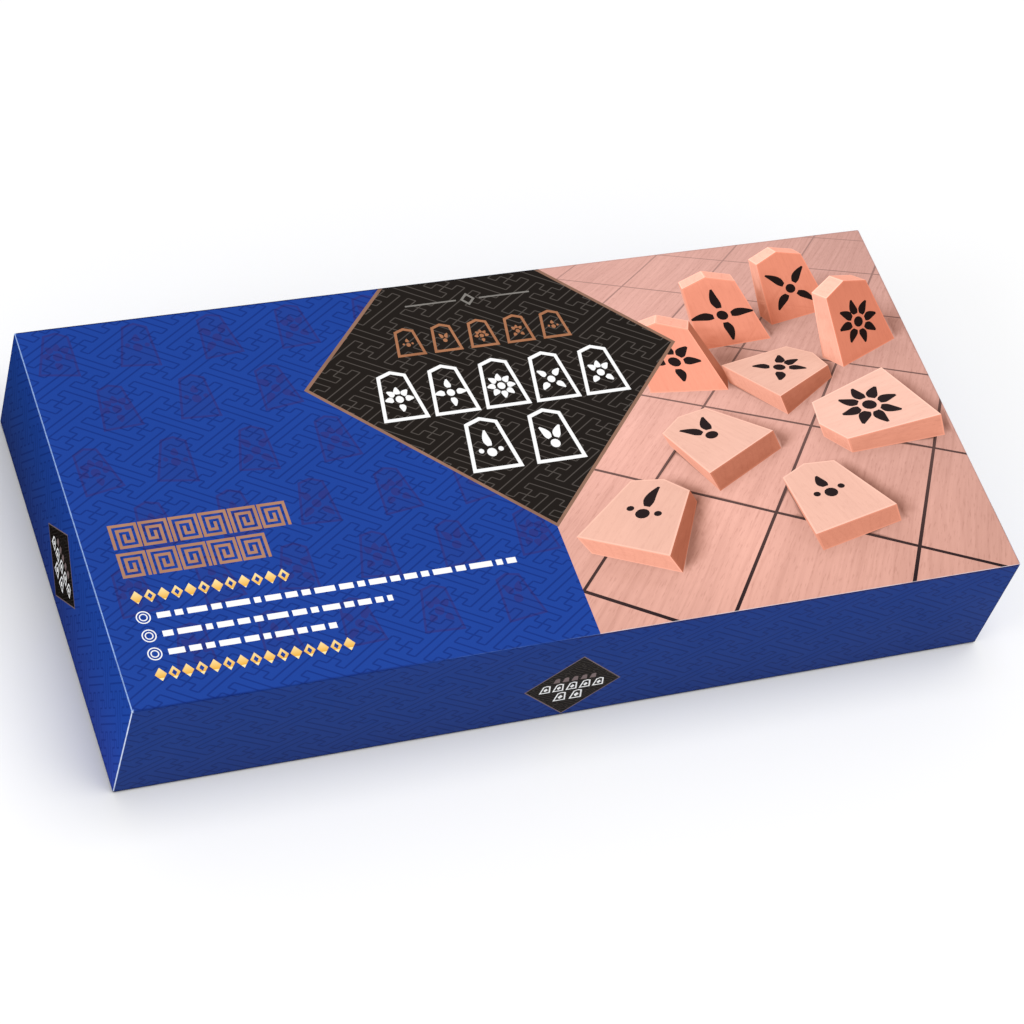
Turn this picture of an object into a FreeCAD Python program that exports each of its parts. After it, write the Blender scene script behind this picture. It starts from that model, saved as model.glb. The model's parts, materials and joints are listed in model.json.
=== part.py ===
"""Boxed wooden shogi set: a full-depth lift-off lid over a tray that holds an
insert, a tray of five-sided pieces, two piece stands, a two-fold board with a
cloth hinge and a beginner's booklet.

Frame: millimetres, +Z up, origin at the centre of the box's underside, +X along
the length of the box (the photographed end is at -X), the long face in the
photograph looks towards -Y.
"""
import FreeCAD
import Part
import math
import os

V = FreeCAD.Vector

# ------------------------------------------------------------------ dimensions
# lid, outside
BOX_L = 368.0          # length of the closed box
BOX_W = 176.0          # width
BOX_H = 57.0           # height
LID_RIM_Z = 0.5        # the lid's rim stops just above the table
BOARD_T = 1.2          # lid board
WRAP_T = 0.2           # printed paper glued round the lid board
TURN_IN = 15.0         # paper turned over the rim into the lid
EDGE_R = 0.7           # soft fold radius of the outer edges

# tray, inside the lid
FIT = 1.0              # clearance between lid and tray, each side
TRAY_TOP = 55.3        # top edge of the tray walls
TRAY_FLOOR = 1.2
TRAY_BOARD = 1.0       # wall board of the tray
TRAY_TURN = 15.0       # paper turned in over the tray's top edge

# insert platform under the board
INS_L, INS_W, INS_TOP = 360.0, 168.0, 23.8
INS_T = 1.0
STAND_WELL_X = ((-171.0, -87.0), (-79.0, 5.0))
STAND_WELL_Y = (-53.0, 53.0)
TRAY_WELL_X = (14.0, 171.0)
TRAY_WELL_Y = (-66.0, 66.0)
NOTCH_R = 10.0         # half-round finger notches at the wells

# tray of pieces
PT_X0, PT_X1 = 16.0, 169.0
PT_Y0, PT_Y1 = -64.0, 64.0
PT_Z0, PT_H, PT_T, PT_FLOOR = 1.2, 18.0, 1.2, 1.0
DIV_T = 1.0            # divider strips between the rows of pieces

# two-fold playing board, folded back to back
BRD_L = 344.0          # along the fold
HALF_W = 156.5         # one leaf, across the fold
LEAF_T = 14.0
LEAF_GAP = 0.6         # room for the cloth hinge between the leaves
BRD_Z = 23.9           # underside of the folded board
FOLD_Y = 77.0          # plane of the two butting edges
AXIS_OUT = 0.05        # the fold line stands this far out of that plane
CLOTH_W = 15.0         # cloth glued to each leaf
CLOTH_T = 0.5

# booklet
BK_L, BK_W = 210.0, 148.0
BK_Z, BK_COVER, BK_PAGES = 52.6, 0.2, 1.6
BK_X0 = -105.0
BK_Y0 = -72.0

# piece stands
STAND_L, STAND_W = 80.0, 100.0     # along X, along Y
STAND_PLATE = 8.0
STAND_FOOT = 8.0
STAND_Z = 1.2

# five-sided pieces: width at the foot, height, thickness at the foot
KOMA = {
    "king": (28.7, 32.0, 9.6),
    "rook": (27.8, 31.0, 9.2),
    "bishop": (27.8, 31.0, 9.2),
    "gold": (26.8, 30.0, 8.8),
    "silver": (26.8, 30.0, 8.8),
    "knight": (25.5, 28.5, 8.3),
    "lance": (23.5, 28.5, 8.0),
    "pawn": (22.5, 27.0, 7.7),
}
KOMA_SLOPE = math.radians(6.0)     # the face falls towards the point
KOMA_SIDE = math.radians(9.0)      # the flanks lean in
KOMA_POINT = math.radians(18.0)    # the two edges of the point
KOMA_BEVEL = 0.4

os.makedirs("parts", exist_ok=True)


# --------------------------------------------------------------------- helpers
def box(x0, x1, y0, y1, z0, z1):
    return Part.makeBox(x1 - x0, y1 - y0, z1 - z0, V(x0, y0, z0))


def centred(lx, ly, z0, z1):
    return box(-lx / 2, lx / 2, -ly / 2, ly / 2, z0, z1)


def pick_edges(shape, test):
    return [e for e in shape.Edges if test(e)]


def is_vertical(e):
    a, b = e.Vertexes[0].Point, e.Vertexes[-1].Point
    return abs(a.x - b.x) < 1e-6 and abs(a.y - b.y) < 1e-6


def at_level(e, z):
    return all(abs(v.Point.z - z) < 1e-6 for v in e.Vertexes)


def soft_block(lx, ly, z0, z1, r):
    """A block with its four upright edges and its top rim rounded."""
    s = centred(lx, ly, z0, z1)
    s = s.makeFillet(r, pick_edges(s, is_vertical))
    s = s.makeFillet(r * 0.9, pick_edges(s, lambda e: at_level(e, z1)))
    return s


def export(shape, node):
    if isinstance(shape, (list, tuple)):
        shape = Part.makeCompound(list(shape))
    for s in shape.Solids:
        if not s.isValid() or s.Volume <= 0:
            raise RuntimeError("bad solid in " + node)
    shape.exportStep("parts/%s.step" % node)
    b = shape.BoundBox
    print("%-22s solids %2d  vol %10.1f  x %.2f..%.2f  y %.2f..%.2f  z %.2f..%.2f" % (
        node, len(shape.Solids), shape.Volume, b.XMin, b.XMax, b.YMin, b.YMax, b.ZMin, b.ZMax))


# ------------------------------------------------------------------------- lid
# grey board, scored and folded, with the printed paper glued round it and
# turned in over the rim
lid_in_l = BOX_L - 2 * (BOARD_T + WRAP_T)
lid_in_w = BOX_W - 2 * (BOARD_T + WRAP_T)
lid_in_top = BOX_H - BOARD_T - WRAP_T

lid_outer = soft_block(BOX_L, BOX_W, LID_RIM_Z, BOX_H, EDGE_R)
lid_board_outer = soft_block(BOX_L - 2 * WRAP_T, BOX_W - 2 * WRAP_T,
                             LID_RIM_Z + WRAP_T, BOX_H - WRAP_T, EDGE_R - 0.15)
lid_hollow = centred(lid_in_l, lid_in_w, -10, lid_in_top)
lid_shell = lid_board_outer.cut(lid_hollow)

turn_open = centred(lid_in_l - 2 * WRAP_T, lid_in_w - 2 * WRAP_T, -10, lid_in_top)
turn_above = centred(lid_in_l, lid_in_w, LID_RIM_Z + TURN_IN, lid_in_top)
lid_wrap = lid_outer.cut(lid_board_outer).fuse(
    centred(lid_in_l, lid_in_w, LID_RIM_Z + WRAP_T, LID_RIM_Z + TURN_IN)).fuse(
    centred(BOX_L - 2.5, BOX_W - 2.5, LID_RIM_Z, LID_RIM_Z + WRAP_T)).cut(turn_open)
lid_wrap = lid_wrap.cut(lid_shell).cut(turn_above).removeSplitter()

export(lid_shell, "lid_shell")
export(lid_wrap, "lid_printed_wrap")

# ------------------------------------------------------------------------ tray
tray_l = lid_in_l - 2 * FIT
tray_w = lid_in_w - 2 * FIT
tb_l, tb_w = tray_l - 2 * WRAP_T, tray_w - 2 * WRAP_T      # outside of the board
ti_l, ti_w = tb_l - 2 * TRAY_BOARD, tb_w - 2 * TRAY_BOARD  # clear inside

base_tray = centred(tb_l, tb_w, 0, TRAY_TOP - WRAP_T).cut(
    centred(ti_l, ti_w, TRAY_FLOOR, 100))
# paper band round the walls, over the top edge and down inside
base_wrap = centred(tray_l, tray_w, 0.3, TRAY_TOP).cut(
    centred(ti_l - 2 * WRAP_T, ti_w - 2 * WRAP_T, -1, 100))
base_wrap = base_wrap.cut(centred(tb_l, tb_w, -1, TRAY_TOP - WRAP_T).cut(
    centred(ti_l, ti_w, TRAY_TOP - TRAY_TURN, 100)))
base_wrap = base_wrap.removeSplitter()

export(base_tray, "base_tray")
export(base_wrap, "base_tray_wrap")

# ---------------------------------------------------------------------- insert
# one cut and folded sheet: deck, skirt round the outside and a wall down each
# side of every well, open underneath
ins = centred(INS_L, INS_W, TRAY_FLOOR, INS_TOP)
hollow = centred(INS_L - 2 * INS_T, INS_W - 2 * INS_T, TRAY_FLOOR - 1, INS_TOP - INS_T)
wells = [(x0, x1, STAND_WELL_Y[0], STAND_WELL_Y[1]) for x0, x1 in STAND_WELL_X]
wells.append((TRAY_WELL_X[0], TRAY_WELL_X[1], TRAY_WELL_Y[0], TRAY_WELL_Y[1]))
for x0, x1, y0, y1 in wells:
    hollow = hollow.cut(box(x0 - INS_T, x1 + INS_T, y0 - INS_T, y1 + INS_T, -5, 60))
ins = ins.cut(hollow)
for x0, x1, y0, y1 in wells:
    ins = ins.cut(box(x0, x1, y0, y1, -5, 60))
    xm = (x0 + x1) / 2
    for y in (y0, y1):
        ins = ins.cut(Part.makeCylinder(NOTCH_R, 16.0, V(xm, y, INS_TOP - 11.0)))
insert = ins.removeSplitter()
export(insert, "insert_platform")

# --------------------------------------------------------------- tray of pieces
pt = box(PT_X0, PT_X1, PT_Y0, PT_Y1, PT_Z0, PT_Z0 + PT_H)
pt = pt.cut(box(PT_X0 + PT_T, PT_X1 - PT_T, PT_Y0 + PT_T, PT_Y1 - PT_T,
                PT_Z0 + PT_FLOOR, 100))
# thumb dips in the two long walls
xm = (PT_X0 + PT_X1) / 2
pt = pt.cut(Part.makeCylinder(9.0, 200.0, V(xm, -100, PT_Z0 + PT_H + 2.0), V(0, 1, 0)))
export(pt, "piece_tray")

# rows run along X, front to back; kings nearest the back wall of the tray
floor_z = PT_Z0 + PT_FLOOR
rows = [
    ("D", ["pawn"] * 5),
    ("C", ["lance"] + ["pawn"] * 5),
    ("B", ["silver", "silver", "knight", "knight", "lance"]),
    ("A", ["king", "rook", "bishop", "gold", "gold"]),
]
row_depth = {"A": 33.2, "B": 31.2, "C": 29.6, "D": 28.0}


def koma(kind):
    """A piece lying on its flat face: foot at y=0, point at y=h, base z=0."""
    w, h, t = KOMA[kind]
    hw = (w / 2 - h * math.tan(KOMA_SIDE)) / (1 - math.tan(KOMA_POINT) * math.tan(KOMA_SIDE))
    hs = h - hw * math.tan(KOMA_POINT)
    pts = [V(-w / 2, 0, 0), V(w / 2, 0, 0), V(hw, hs, 0), V(0, h, 0), V(-hw, hs, 0)]
    face = Part.Face(Part.makePolygon(pts + [pts[0]]))
    s = face.extrude(V(0, 0, t))
    # the upper face falls towards the point
    fall = h * math.tan(KOMA_SLOPE)
    cutter = Part.Face(Part.makePolygon([
        V(-w, -2, t + 2 * math.tan(KOMA_SLOPE)), V(-w, h + 2, t - fall - 2 * math.tan(KOMA_SLOPE)),
        V(-w, h + 2, t + 9), V(-w, -2, t + 9), V(-w, -2, t + 2 * math.tan(KOMA_SLOPE))]))
    s = s.cut(cutter.extrude(V(2 * w, 0, 0)))
    s = s.makeChamfer(KOMA_BEVEL, s.Edges)
    return s, w, h, t


def placed(kind, xc, y0, layer):
    s, w, h, t = koma(kind)
    s = s.copy()
    if layer == 0:
        s.translate(V(xc, y0, floor_z))
    else:
        # turned over end for end on top of the first, sloping face down
        total = t + (t - h * math.tan(KOMA_SLOPE))
        s.rotate(V(0, 0, 0), V(1, 0, 0), 180)      # y -> -y, z -> -z
        s.translate(V(xc, y0 + h, floor_z + total + 0.15))
    return s


solids = {k: [] for k in KOMA}
spare = []
y = PT_Y0 + PT_T + 0.6
dividers = []
inner_x0, inner_x1 = PT_X0 + PT_T, PT_X1 - PT_T
for ri, (name, kinds) in enumerate(rows):
    widths = [KOMA[k][0] for k in kinds]
    room = inner_x1 - inner_x0
    gap = 1.6
    x = inner_x0 + gap
    for i, k in enumerate(kinds):
        w, h, t = KOMA[k]
        xc = x + w / 2
        for layer in (0, 1):
            s = placed(k, xc, y + (row_depth[name] - h) / 2 - 0.4, layer)
            if name == "D" and i == 4:
                spare.append(s)
            else:
                solids[k].append(s)
        x += w + gap
    y += row_depth[name]
    if ri < len(rows) - 1:
        dividers.append(box(inner_x0 + 0.1, inner_x1 - 0.1, y - DIV_T / 2, y + DIV_T / 2,
                            floor_z, PT_Z0 + PT_H - 4.0))
        y += DIV_T / 2
row_end = y
dividers = [d.copy() for d in dividers]

export(dividers, "piece_tray_dividers")
export(solids["king"], "kings")
export(solids["rook"], "rooks")
export(solids["bishop"], "bishops")
export(solids["gold"], "gold_generals")
export(solids["silver"], "silver_generals")
export(solids["knight"], "knights")
export(solids["lance"], "lances")
export(solids["pawn"], "pawns")
export(spare, "spare_pawns")

# ---------------------------------------------------------------- piece stands
for side, (x0, x1) in zip(("left", "right"), STAND_WELL_X):
    xm = (x0 + x1) / 2
    feet = []
    for s in (-1, 1):
        yc = s * (STAND_W / 2 - 11.0)
        f = box(xm - STAND_L / 2 + 4, xm + STAND_L / 2 - 4, yc - 5.0, yc + 5.0,
                STAND_Z, STAND_Z + STAND_FOOT)
        f = f.makeChamfer(1.0, pick_edges(f, lambda e: at_level(e, STAND_Z)))
        feet.append(f)
    p = box(xm - STAND_L / 2, xm + STAND_L / 2, -STAND_W / 2, STAND_W / 2,
            STAND_Z + STAND_FOOT, STAND_Z + STAND_FOOT + STAND_PLATE)
    p = p.makeFillet(2.0, pick_edges(p, is_vertical))
    p = p.makeChamfer(0.7, pick_edges(p, lambda e: at_level(e, STAND_Z + STAND_FOOT + STAND_PLATE)))
    export(p, "stand_%s_plate" % side)
    export(feet, "stand_%s_feet" % side)

# ------------------------------------------------------------- two-fold board
y0, y1 = FOLD_Y - HALF_W, FOLD_Y
axis_z = BRD_Z + LEAF_T + LEAF_GAP / 2


def leaf(z0, z1, playing_z):
    s = box(-BRD_L / 2, BRD_L / 2, y0, y1, z0, z1)
    # the three outer edges of the playing face are eased, the seam is sharp
    es = pick_edges(s, lambda e: at_level(e, playing_z)
                    and not all(abs(v.Point.y - y1) < 1e-6 for v in e.Vertexes))
    return s.makeChamfer(0.8, es)


upper = leaf(axis_z + LEAF_GAP / 2, axis_z + LEAF_GAP / 2 + LEAF_T, axis_z + LEAF_GAP / 2 + LEAF_T)
lower = leaf(BRD_Z, BRD_Z + LEAF_T, BRD_Z)
export(upper, "board_leaf_upper")
export(lower, "board_leaf_lower")
cloth = box(-BRD_L / 2 + 2, BRD_L / 2 - 2, y1 - CLOTH_W, y1,
            axis_z - CLOTH_T / 2, axis_z + CLOTH_T / 2)
cloth = cloth.makeFillet(CLOTH_T * 0.45, pick_edges(cloth, lambda e: all(
    abs(v.Point.y - y1) < 1e-6 for v in e.Vertexes) and not is_vertical(e)))
export(cloth, "board_cloth_hinge")

# --------------------------------------------------------------------- booklet
bz0 = BK_Z
bz1 = BK_Z + 2 * BK_COVER + BK_PAGES
cover = box(BK_X0, BK_X0 + BK_L, BK_Y0, BK_Y0 + BK_W, bz0, bz1)
cover = cover.cut(box(BK_X0 - 1, BK_X0 + BK_L + 1, BK_Y0 - 1, BK_Y0 + BK_W - BK_COVER,
                      bz0 + BK_COVER, bz1 - BK_COVER))
pages = box(BK_X0 + 0.3, BK_X0 + BK_L - 0.3, BK_Y0 + 0.4, BK_Y0 + BK_W - BK_COVER,
            bz0 + BK_COVER, bz1 - BK_COVER)
zc = (bz0 + bz1) / 2
yb = BK_Y0 + BK_W
staples = []
for xs in (BK_X0 + BK_L * 0.27, BK_X0 + BK_L * 0.73):
    st = box(xs - 6.0, xs + 6.0, yb, yb + 0.4, zc - 0.2, zc + 0.2)
    for s in (-1, 1):
        st = st.fuse(box(xs + s * 5.8 - 0.2, xs + s * 5.8 + 0.2, yb - 2.6, yb + 0.2, zc - 0.2, zc + 0.2))
        st = st.fuse(box(min(xs + s * 5.6, xs + s * 1.2), max(xs + s * 5.6, xs + s * 1.2),
                         yb - 2.6, yb - 2.2, zc - 0.2, zc + 0.2))
    st = st.removeSplitter()
    staples.append(st)
for st in staples:
    cover = cover.cut(st)
    pages = pages.cut(st)
export(cover, "booklet_cover")
export(pages, "booklet_pages")
export(staples, "booklet_staples")

print("row end y %.2f, inner wall %.2f" % (row_end, PT_Y1 - PT_T))
print("fold axis y %.3f z %.3f" % (FOLD_Y + AXIS_OUT, axis_z))
print("tray outside %.2f x %.2f, inside %.2f x %.2f" % (tray_l, tray_w, ti_l, ti_w))
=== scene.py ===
import json
import math

import bpy
import numpy as np
from mathutils import Euler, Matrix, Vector
from mathutils.geometry import delaunay_2d_cdt

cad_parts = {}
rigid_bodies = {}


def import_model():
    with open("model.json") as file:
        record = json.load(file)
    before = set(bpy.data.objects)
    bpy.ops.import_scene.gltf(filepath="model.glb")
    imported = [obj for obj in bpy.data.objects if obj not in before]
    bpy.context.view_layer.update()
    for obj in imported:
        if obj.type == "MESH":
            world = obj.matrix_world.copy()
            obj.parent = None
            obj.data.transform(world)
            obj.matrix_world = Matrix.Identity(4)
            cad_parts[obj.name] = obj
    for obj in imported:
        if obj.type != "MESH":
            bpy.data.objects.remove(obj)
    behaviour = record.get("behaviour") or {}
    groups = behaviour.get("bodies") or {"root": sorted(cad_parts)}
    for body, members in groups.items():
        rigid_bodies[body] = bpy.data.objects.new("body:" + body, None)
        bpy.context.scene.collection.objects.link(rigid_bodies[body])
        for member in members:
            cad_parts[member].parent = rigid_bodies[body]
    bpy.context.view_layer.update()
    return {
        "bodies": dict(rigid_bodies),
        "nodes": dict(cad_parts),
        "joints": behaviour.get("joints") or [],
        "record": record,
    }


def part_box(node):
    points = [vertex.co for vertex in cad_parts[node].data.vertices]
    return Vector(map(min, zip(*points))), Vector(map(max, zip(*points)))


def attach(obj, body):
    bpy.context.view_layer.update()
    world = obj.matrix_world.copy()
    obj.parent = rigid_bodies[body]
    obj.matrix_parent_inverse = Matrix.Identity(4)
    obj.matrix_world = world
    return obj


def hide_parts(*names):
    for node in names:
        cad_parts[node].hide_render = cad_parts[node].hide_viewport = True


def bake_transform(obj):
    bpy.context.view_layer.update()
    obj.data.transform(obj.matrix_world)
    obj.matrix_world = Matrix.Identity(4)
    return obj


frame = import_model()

scene = bpy.context.scene
nodes = frame["nodes"]
MM = 0.001

# ------------------------------------------------------------- box measures
# millimetres, in the row frame
LID_LO, LID_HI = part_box("lid_printed_wrap")
HX = LID_HI.x / MM            # half length
HY = LID_HI.y / MM            # half width
TOP = LID_HI.z / MM           # top of the lid
RIM = LID_LO.z / MM           # rim of the lid
EDGE = 0.65                   # soft fold radius of the wrapped edges
PAPER = 0.17                  # printed paper

# ------------------------------------------------------------------- camera
cam_data = bpy.data.cameras.new("camera")
cam = bpy.data.objects.new("camera", cam_data)
scene.collection.objects.link(cam)
cam.location = (-0.4771508, -0.6818486, 1.0713465)
cam.rotation_euler = Euler((0.6369832, -0.2181204, -0.3301476), "XYZ")
cam_data.sensor_width = 36.0
cam_data.sensor_fit = "HORIZONTAL"
cam_data.lens = 117.4835
cam_data.clip_start, cam_data.clip_end = 0.05, 30.0
scene.camera = cam
scene.view_settings.view_transform = "Standard"
scene.view_settings.look = "None"


# -------------------------------------------------------------- node helper
class Tree:
    """Builds a material's nodes with short calls."""

    def __init__(self, name):
        self.mat = bpy.data.materials.new(name)
        self.mat.use_nodes = True
        self.nt = self.mat.node_tree
        self.nt.nodes.clear()
        self.out = self.nt.nodes.new("ShaderNodeOutputMaterial")
        self.bsdf = self.nt.nodes.new("ShaderNodeBsdfPrincipled")
        self.nt.links.new(self.bsdf.outputs[0], self.out.inputs[0])
        self._xyz = None

    def node(self, kind, **props):
        n = self.nt.nodes.new(kind)
        for k, v in props.items():
            setattr(n, k, v)
        return n

    def put(self, socket, value):
        if value is None:
            return
        if isinstance(value, bpy.types.NodeSocket):
            self.nt.links.new(value, socket)
        elif hasattr(socket.default_value, "__len__"):
            v = list(value) if hasattr(value, "__len__") else [value] * 3
            n = len(socket.default_value)
            if len(v) < n:
                v = v + [1.0] * (n - len(v))
            socket.default_value = v[:n]
        else:
            socket.default_value = value

    def m(self, op, a, b=None, c=None, clamp=False):
        n = self.node("ShaderNodeMath", operation=op, use_clamp=clamp)
        for s, v in zip(n.inputs, (a, b, c)):
            self.put(s, v)
        return n.outputs[0]

    def add(self, a, b):
        return self.m("ADD", a, b)

    def sub(self, a, b):
        return self.m("SUBTRACT", a, b)

    def mul(self, a, b):
        return self.m("MULTIPLY", a, b)

    def both(self, *vals):
        """The product of several masks."""
        out = vals[0]
        for v in vals[1:]:
            out = self.mul(out, v)
        return out

    def most(self, *vals):
        out = vals[0]
        for v in vals[1:]:
            out = self.m("MAXIMUM", out, v)
        return out

    def least(self, *vals):
        out = vals[0]
        for v in vals[1:]:
            out = self.m("MINIMUM", out, v)
        return out

    def v(self, op, a, b=None, scale=None):
        n = self.node("ShaderNodeVectorMath", operation=op)
        self.put(n.inputs[0], a)
        if b is not None:
            self.put(n.inputs[1], b)
        if scale is not None:
            self.put(n.inputs["Scale"], scale)
        return n.outputs["Value"] if op in ("DOT_PRODUCT", "LENGTH", "DISTANCE") else n.outputs[0]

    def coords(self):
        return self.node("ShaderNodeTexCoord").outputs["Object"]

    def xyz(self, vec=None):
        """x, y and z; with no argument, the place on the object in the row frame."""
        if vec is None and self._xyz is not None:
            return self._xyz
        n = self.node("ShaderNodeSeparateXYZ")
        self.put(n.inputs[0], self.coords() if vec is None else vec)
        out = (n.outputs[0], n.outputs[1], n.outputs[2])
        if vec is None:
            self._xyz = out
        return out

    def join(self, x, y, z):
        n = self.node("ShaderNodeCombineXYZ")
        for s, v in zip(n.inputs, (x, y, z)):
            self.put(s, v)
        return n.outputs[0]

    def noise(self, vec, scale, detail=3.0, rough=0.5, distort=0.0, colour=False):
        n = self.node("ShaderNodeTexNoise")
        self.put(n.inputs["Vector"], vec)
        n.inputs["Scale"].default_value = scale
        n.inputs["Detail"].default_value = detail
        n.inputs["Roughness"].default_value = rough
        n.inputs["Distortion"].default_value = distort
        return n.outputs[1] if colour else n.outputs[0]

    def wave(self, vec, scale, distort=0.0, detail=2.0, dscale=1.0, direction="X", profile="SIN"):
        n = self.node("ShaderNodeTexWave", wave_type="BANDS", bands_direction=direction,
                      wave_profile=profile)
        self.put(n.inputs["Vector"], vec)
        n.inputs["Scale"].default_value = scale
        n.inputs["Distortion"].default_value = distort
        n.inputs["Detail"].default_value = detail
        n.inputs["Detail Scale"].default_value = dscale
        return n.outputs["Fac"]

    def mix(self, fac, a, b, blend="MIX"):
        n = self.node("ShaderNodeMix", data_type="RGBA", blend_type=blend)
        self.put(n.inputs[0], fac)
        self.put(n.inputs[6], a)
        self.put(n.inputs[7], b)
        return n.outputs[2]

    def remap(self, x, a, b, c=0.0, d=1.0, smooth=True):
        n = self.node("ShaderNodeMapRange",
                      interpolation_type="SMOOTHSTEP" if smooth else "LINEAR")
        self.put(n.inputs["Value"], x)
        n.inputs["From Min"].default_value = a
        n.inputs["From Max"].default_value = b
        n.inputs["To Min"].default_value = c
        n.inputs["To Max"].default_value = d
        return n.outputs[0]

    def ramp(self, fac, stops, mode="LINEAR"):
        n = self.node("ShaderNodeValToRGB")
        n.color_ramp.interpolation = mode
        els = n.color_ramp.elements
        while len(els) > 1:
            els.remove(els[-1])
        els[0].position = stops[0][0]
        els[0].color = tuple(stops[0][1]) + (1,) * (4 - len(stops[0][1]))
        for p, c in stops[1:]:
            e = els.new(p)
            e.color = tuple(c) + (1,) * (4 - len(c))
        self.put(n.inputs[0], fac)
        return n.outputs[0]

    def attr(self, name, vector=False, alpha=False):
        n = self.node("ShaderNodeAttribute", attribute_type="GEOMETRY", attribute_name=name)
        return n.outputs["Vector" if vector else "Alpha" if alpha else "Color"]

    def bump(self, height, strength=0.3, dist=0.0002, normal=None):
        n = self.node("ShaderNodeBump")
        n.inputs["Strength"].default_value = strength
        n.inputs["Distance"].default_value = dist
        self.put(n.inputs["Height"], height)
        if normal is not None:
            self.put(n.inputs["Normal"], normal)
        return n.outputs[0]

    def finish(self, colour, rough=0.5, normal=None, **more):
        b = self.bsdf
        self.put(b.inputs["Base Color"], colour)
        self.put(b.inputs["Roughness"], rough)
        if normal is not None:
            self.put(b.inputs["Normal"], normal)
        for k, v in more.items():
            b.inputs[k.replace("_", " ")].default_value = v
        return self.mat


def srgb(r, g, b):
    """A colour given as it looks on screen, 0 to 255, as linear light."""
    return tuple((c / 12.92 if c <= 0.04045 else ((c + 0.055) / 1.055) ** 2.4)
                 for c in (r / 255, g / 255, b / 255))


# ------------------------------------------------------------- key fret
# The traditional interlocking key fret, on a lattice whose two families of
# lines lean 31 degrees either way. Each line runs along whole steps of the
# lattice, and the layout repeats every 10 steps both ways. For each row of the
# lattice a ten-bit number says which of its ten steps carry a line.
def bits(*steps):
    return sum(1 << s for s in steps)


FRET_UP = [bits(0, 4, 5, 9), bits(0, 4, 6, 8), bits(0, 4, 5, 6, 7, 8, 9), bits(0, 4, 5, 6, 7, 8, 9),
           bits(0, 4, 6, 8), bits(0, 4, 5, 9), bits(1, 3, 5, 9), bits(0, 1, 2, 3, 4, 5, 9),
           bits(0, 1, 2, 3, 4, 5, 9), bits(1, 3, 5, 9)]
FRET_DOWN = FRET_UP[5:] + FRET_UP[:5]
FRET_LEAN = math.radians(32.0)
FRET_STEP = 3.31              # length of one step, mm
FRET_C = (-6.4, -0.3)         # one crossing of the fret, on the top of the lid
FRET_C_DARK = (-6.6, -3.2)    # and inside the great lozenge


def fret_lines(t, u, v, step, width, soft=0.12, centre=FRET_C):
    """1 on the fret's lines, 0 between them. u, v in metres; step and width in millimetres."""
    step, width, soft = step * MM, width * MM, soft * MM
    c, s = math.cos(FRET_LEAN), math.sin(FRET_LEAN)
    u = t.mul(t.sub(u, centre[0] * MM), 1 / (2 * c * step))
    v = t.mul(t.sub(v, centre[1] * MM), 1 / (2 * s * step))
    p = t.add(t.add(u, v), 1000.0)
    q = t.add(t.sub(u, v), 1000.0)
    lattice = step * math.sin(2 * FRET_LEAN)     # distance between lattice lines
    lo, hi = (width / 2 - soft / 2) / lattice, (width / 2 + soft / 2) / lattice
    covers = []
    for along, across, table in ((p, q, FRET_UP), (q, p, FRET_DOWN)):
        row = t.m("ROUND", across)
        near = t.remap(t.m("ABSOLUTE", t.sub(across, row)), lo, hi, 1.0, 0.0)
        k = t.mul(t.add(t.m("MODULO", row, 10.0), 0.5), 0.1)
        code = t.ramp(k, [(i / 10, (table[i] / 1024,) * 3) for i in range(10)], "CONSTANT")
        sep = t.node("ShaderNodeSeparateColor")
        t.put(sep.inputs[0], code)
        code = t.m("ROUND", t.mul(sep.outputs[0], 1024.0))
        stepno = t.m("MODULO", t.m("FLOOR", along), 10.0)
        bit = t.m("MODULO", t.m("FLOOR", t.m("DIVIDE", code, t.m("POWER", 2.0, stepno))), 2.0)
        covers.append(t.mul(near, bit))
    return t.m("MAXIMUM", covers[0], covers[1])


# --------------------------------------------------------------- meshes
def new_object(name, verts, faces, mats=(), mat_ids=None, smooth=False, normals=None):
    me = bpy.data.meshes.new(name)
    me.from_pydata([tuple(map(float, v)) for v in verts], [], [list(map(int, f)) for f in faces])
    for m in mats:
        me.materials.append(m)
    if mat_ids is not None:
        me.polygons.foreach_set("material_index", np.asarray(mat_ids, np.int32))
    me.polygons.foreach_set("use_smooth", np.full(len(faces), bool(smooth)))
    me.update()
    if normals is not None:
        me.normals_split_custom_set_from_vertices([tuple(map(float, n)) for n in normals])
    ob = bpy.data.objects.new(name, me)
    scene.collection.objects.link(ob)
    return ob


def rect(x0, y0, x1, y1):
    return [(x0, y0), (x1, y0), (x1, y1), (x0, y1)]


def lozenge(cx, cy, hx, hy=None):
    hy = hx if hy is None else hy
    return [(cx - hx, cy), (cx, cy - hy), (cx + hx, cy), (cx, cy + hy)]


def disc(cx, cy, r, n=24):
    return [(cx + r * math.cos(2 * math.pi * i / n), cy + r * math.sin(2 * math.pi * i / n))
            for i in range(n)]


def turned(poly, cx, cy, deg):
    c, s = math.cos(math.radians(deg)), math.sin(math.radians(deg))
    return [(cx + (x - cx) * c - (y - cy) * s, cy + (x - cx) * s + (y - cy) * c) for x, y in poly]


def tile(cx, cy, w, h, deg=0.0):
    """Outline of a five-sided game piece, point up, centred on cx, cy."""
    side, point = math.tan(math.radians(9)), math.tan(math.radians(20))
    hw = (w / 2 - h * side) / (1 - point * side)
    hs = h - hw * point
    pts = [(-w / 2, 0), (w / 2, 0), (hw, hs), (0, h), (-hw, hs)]
    return turned([(cx + x, cy + y - h / 2) for x, y in pts], cx, cy, deg)


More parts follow.
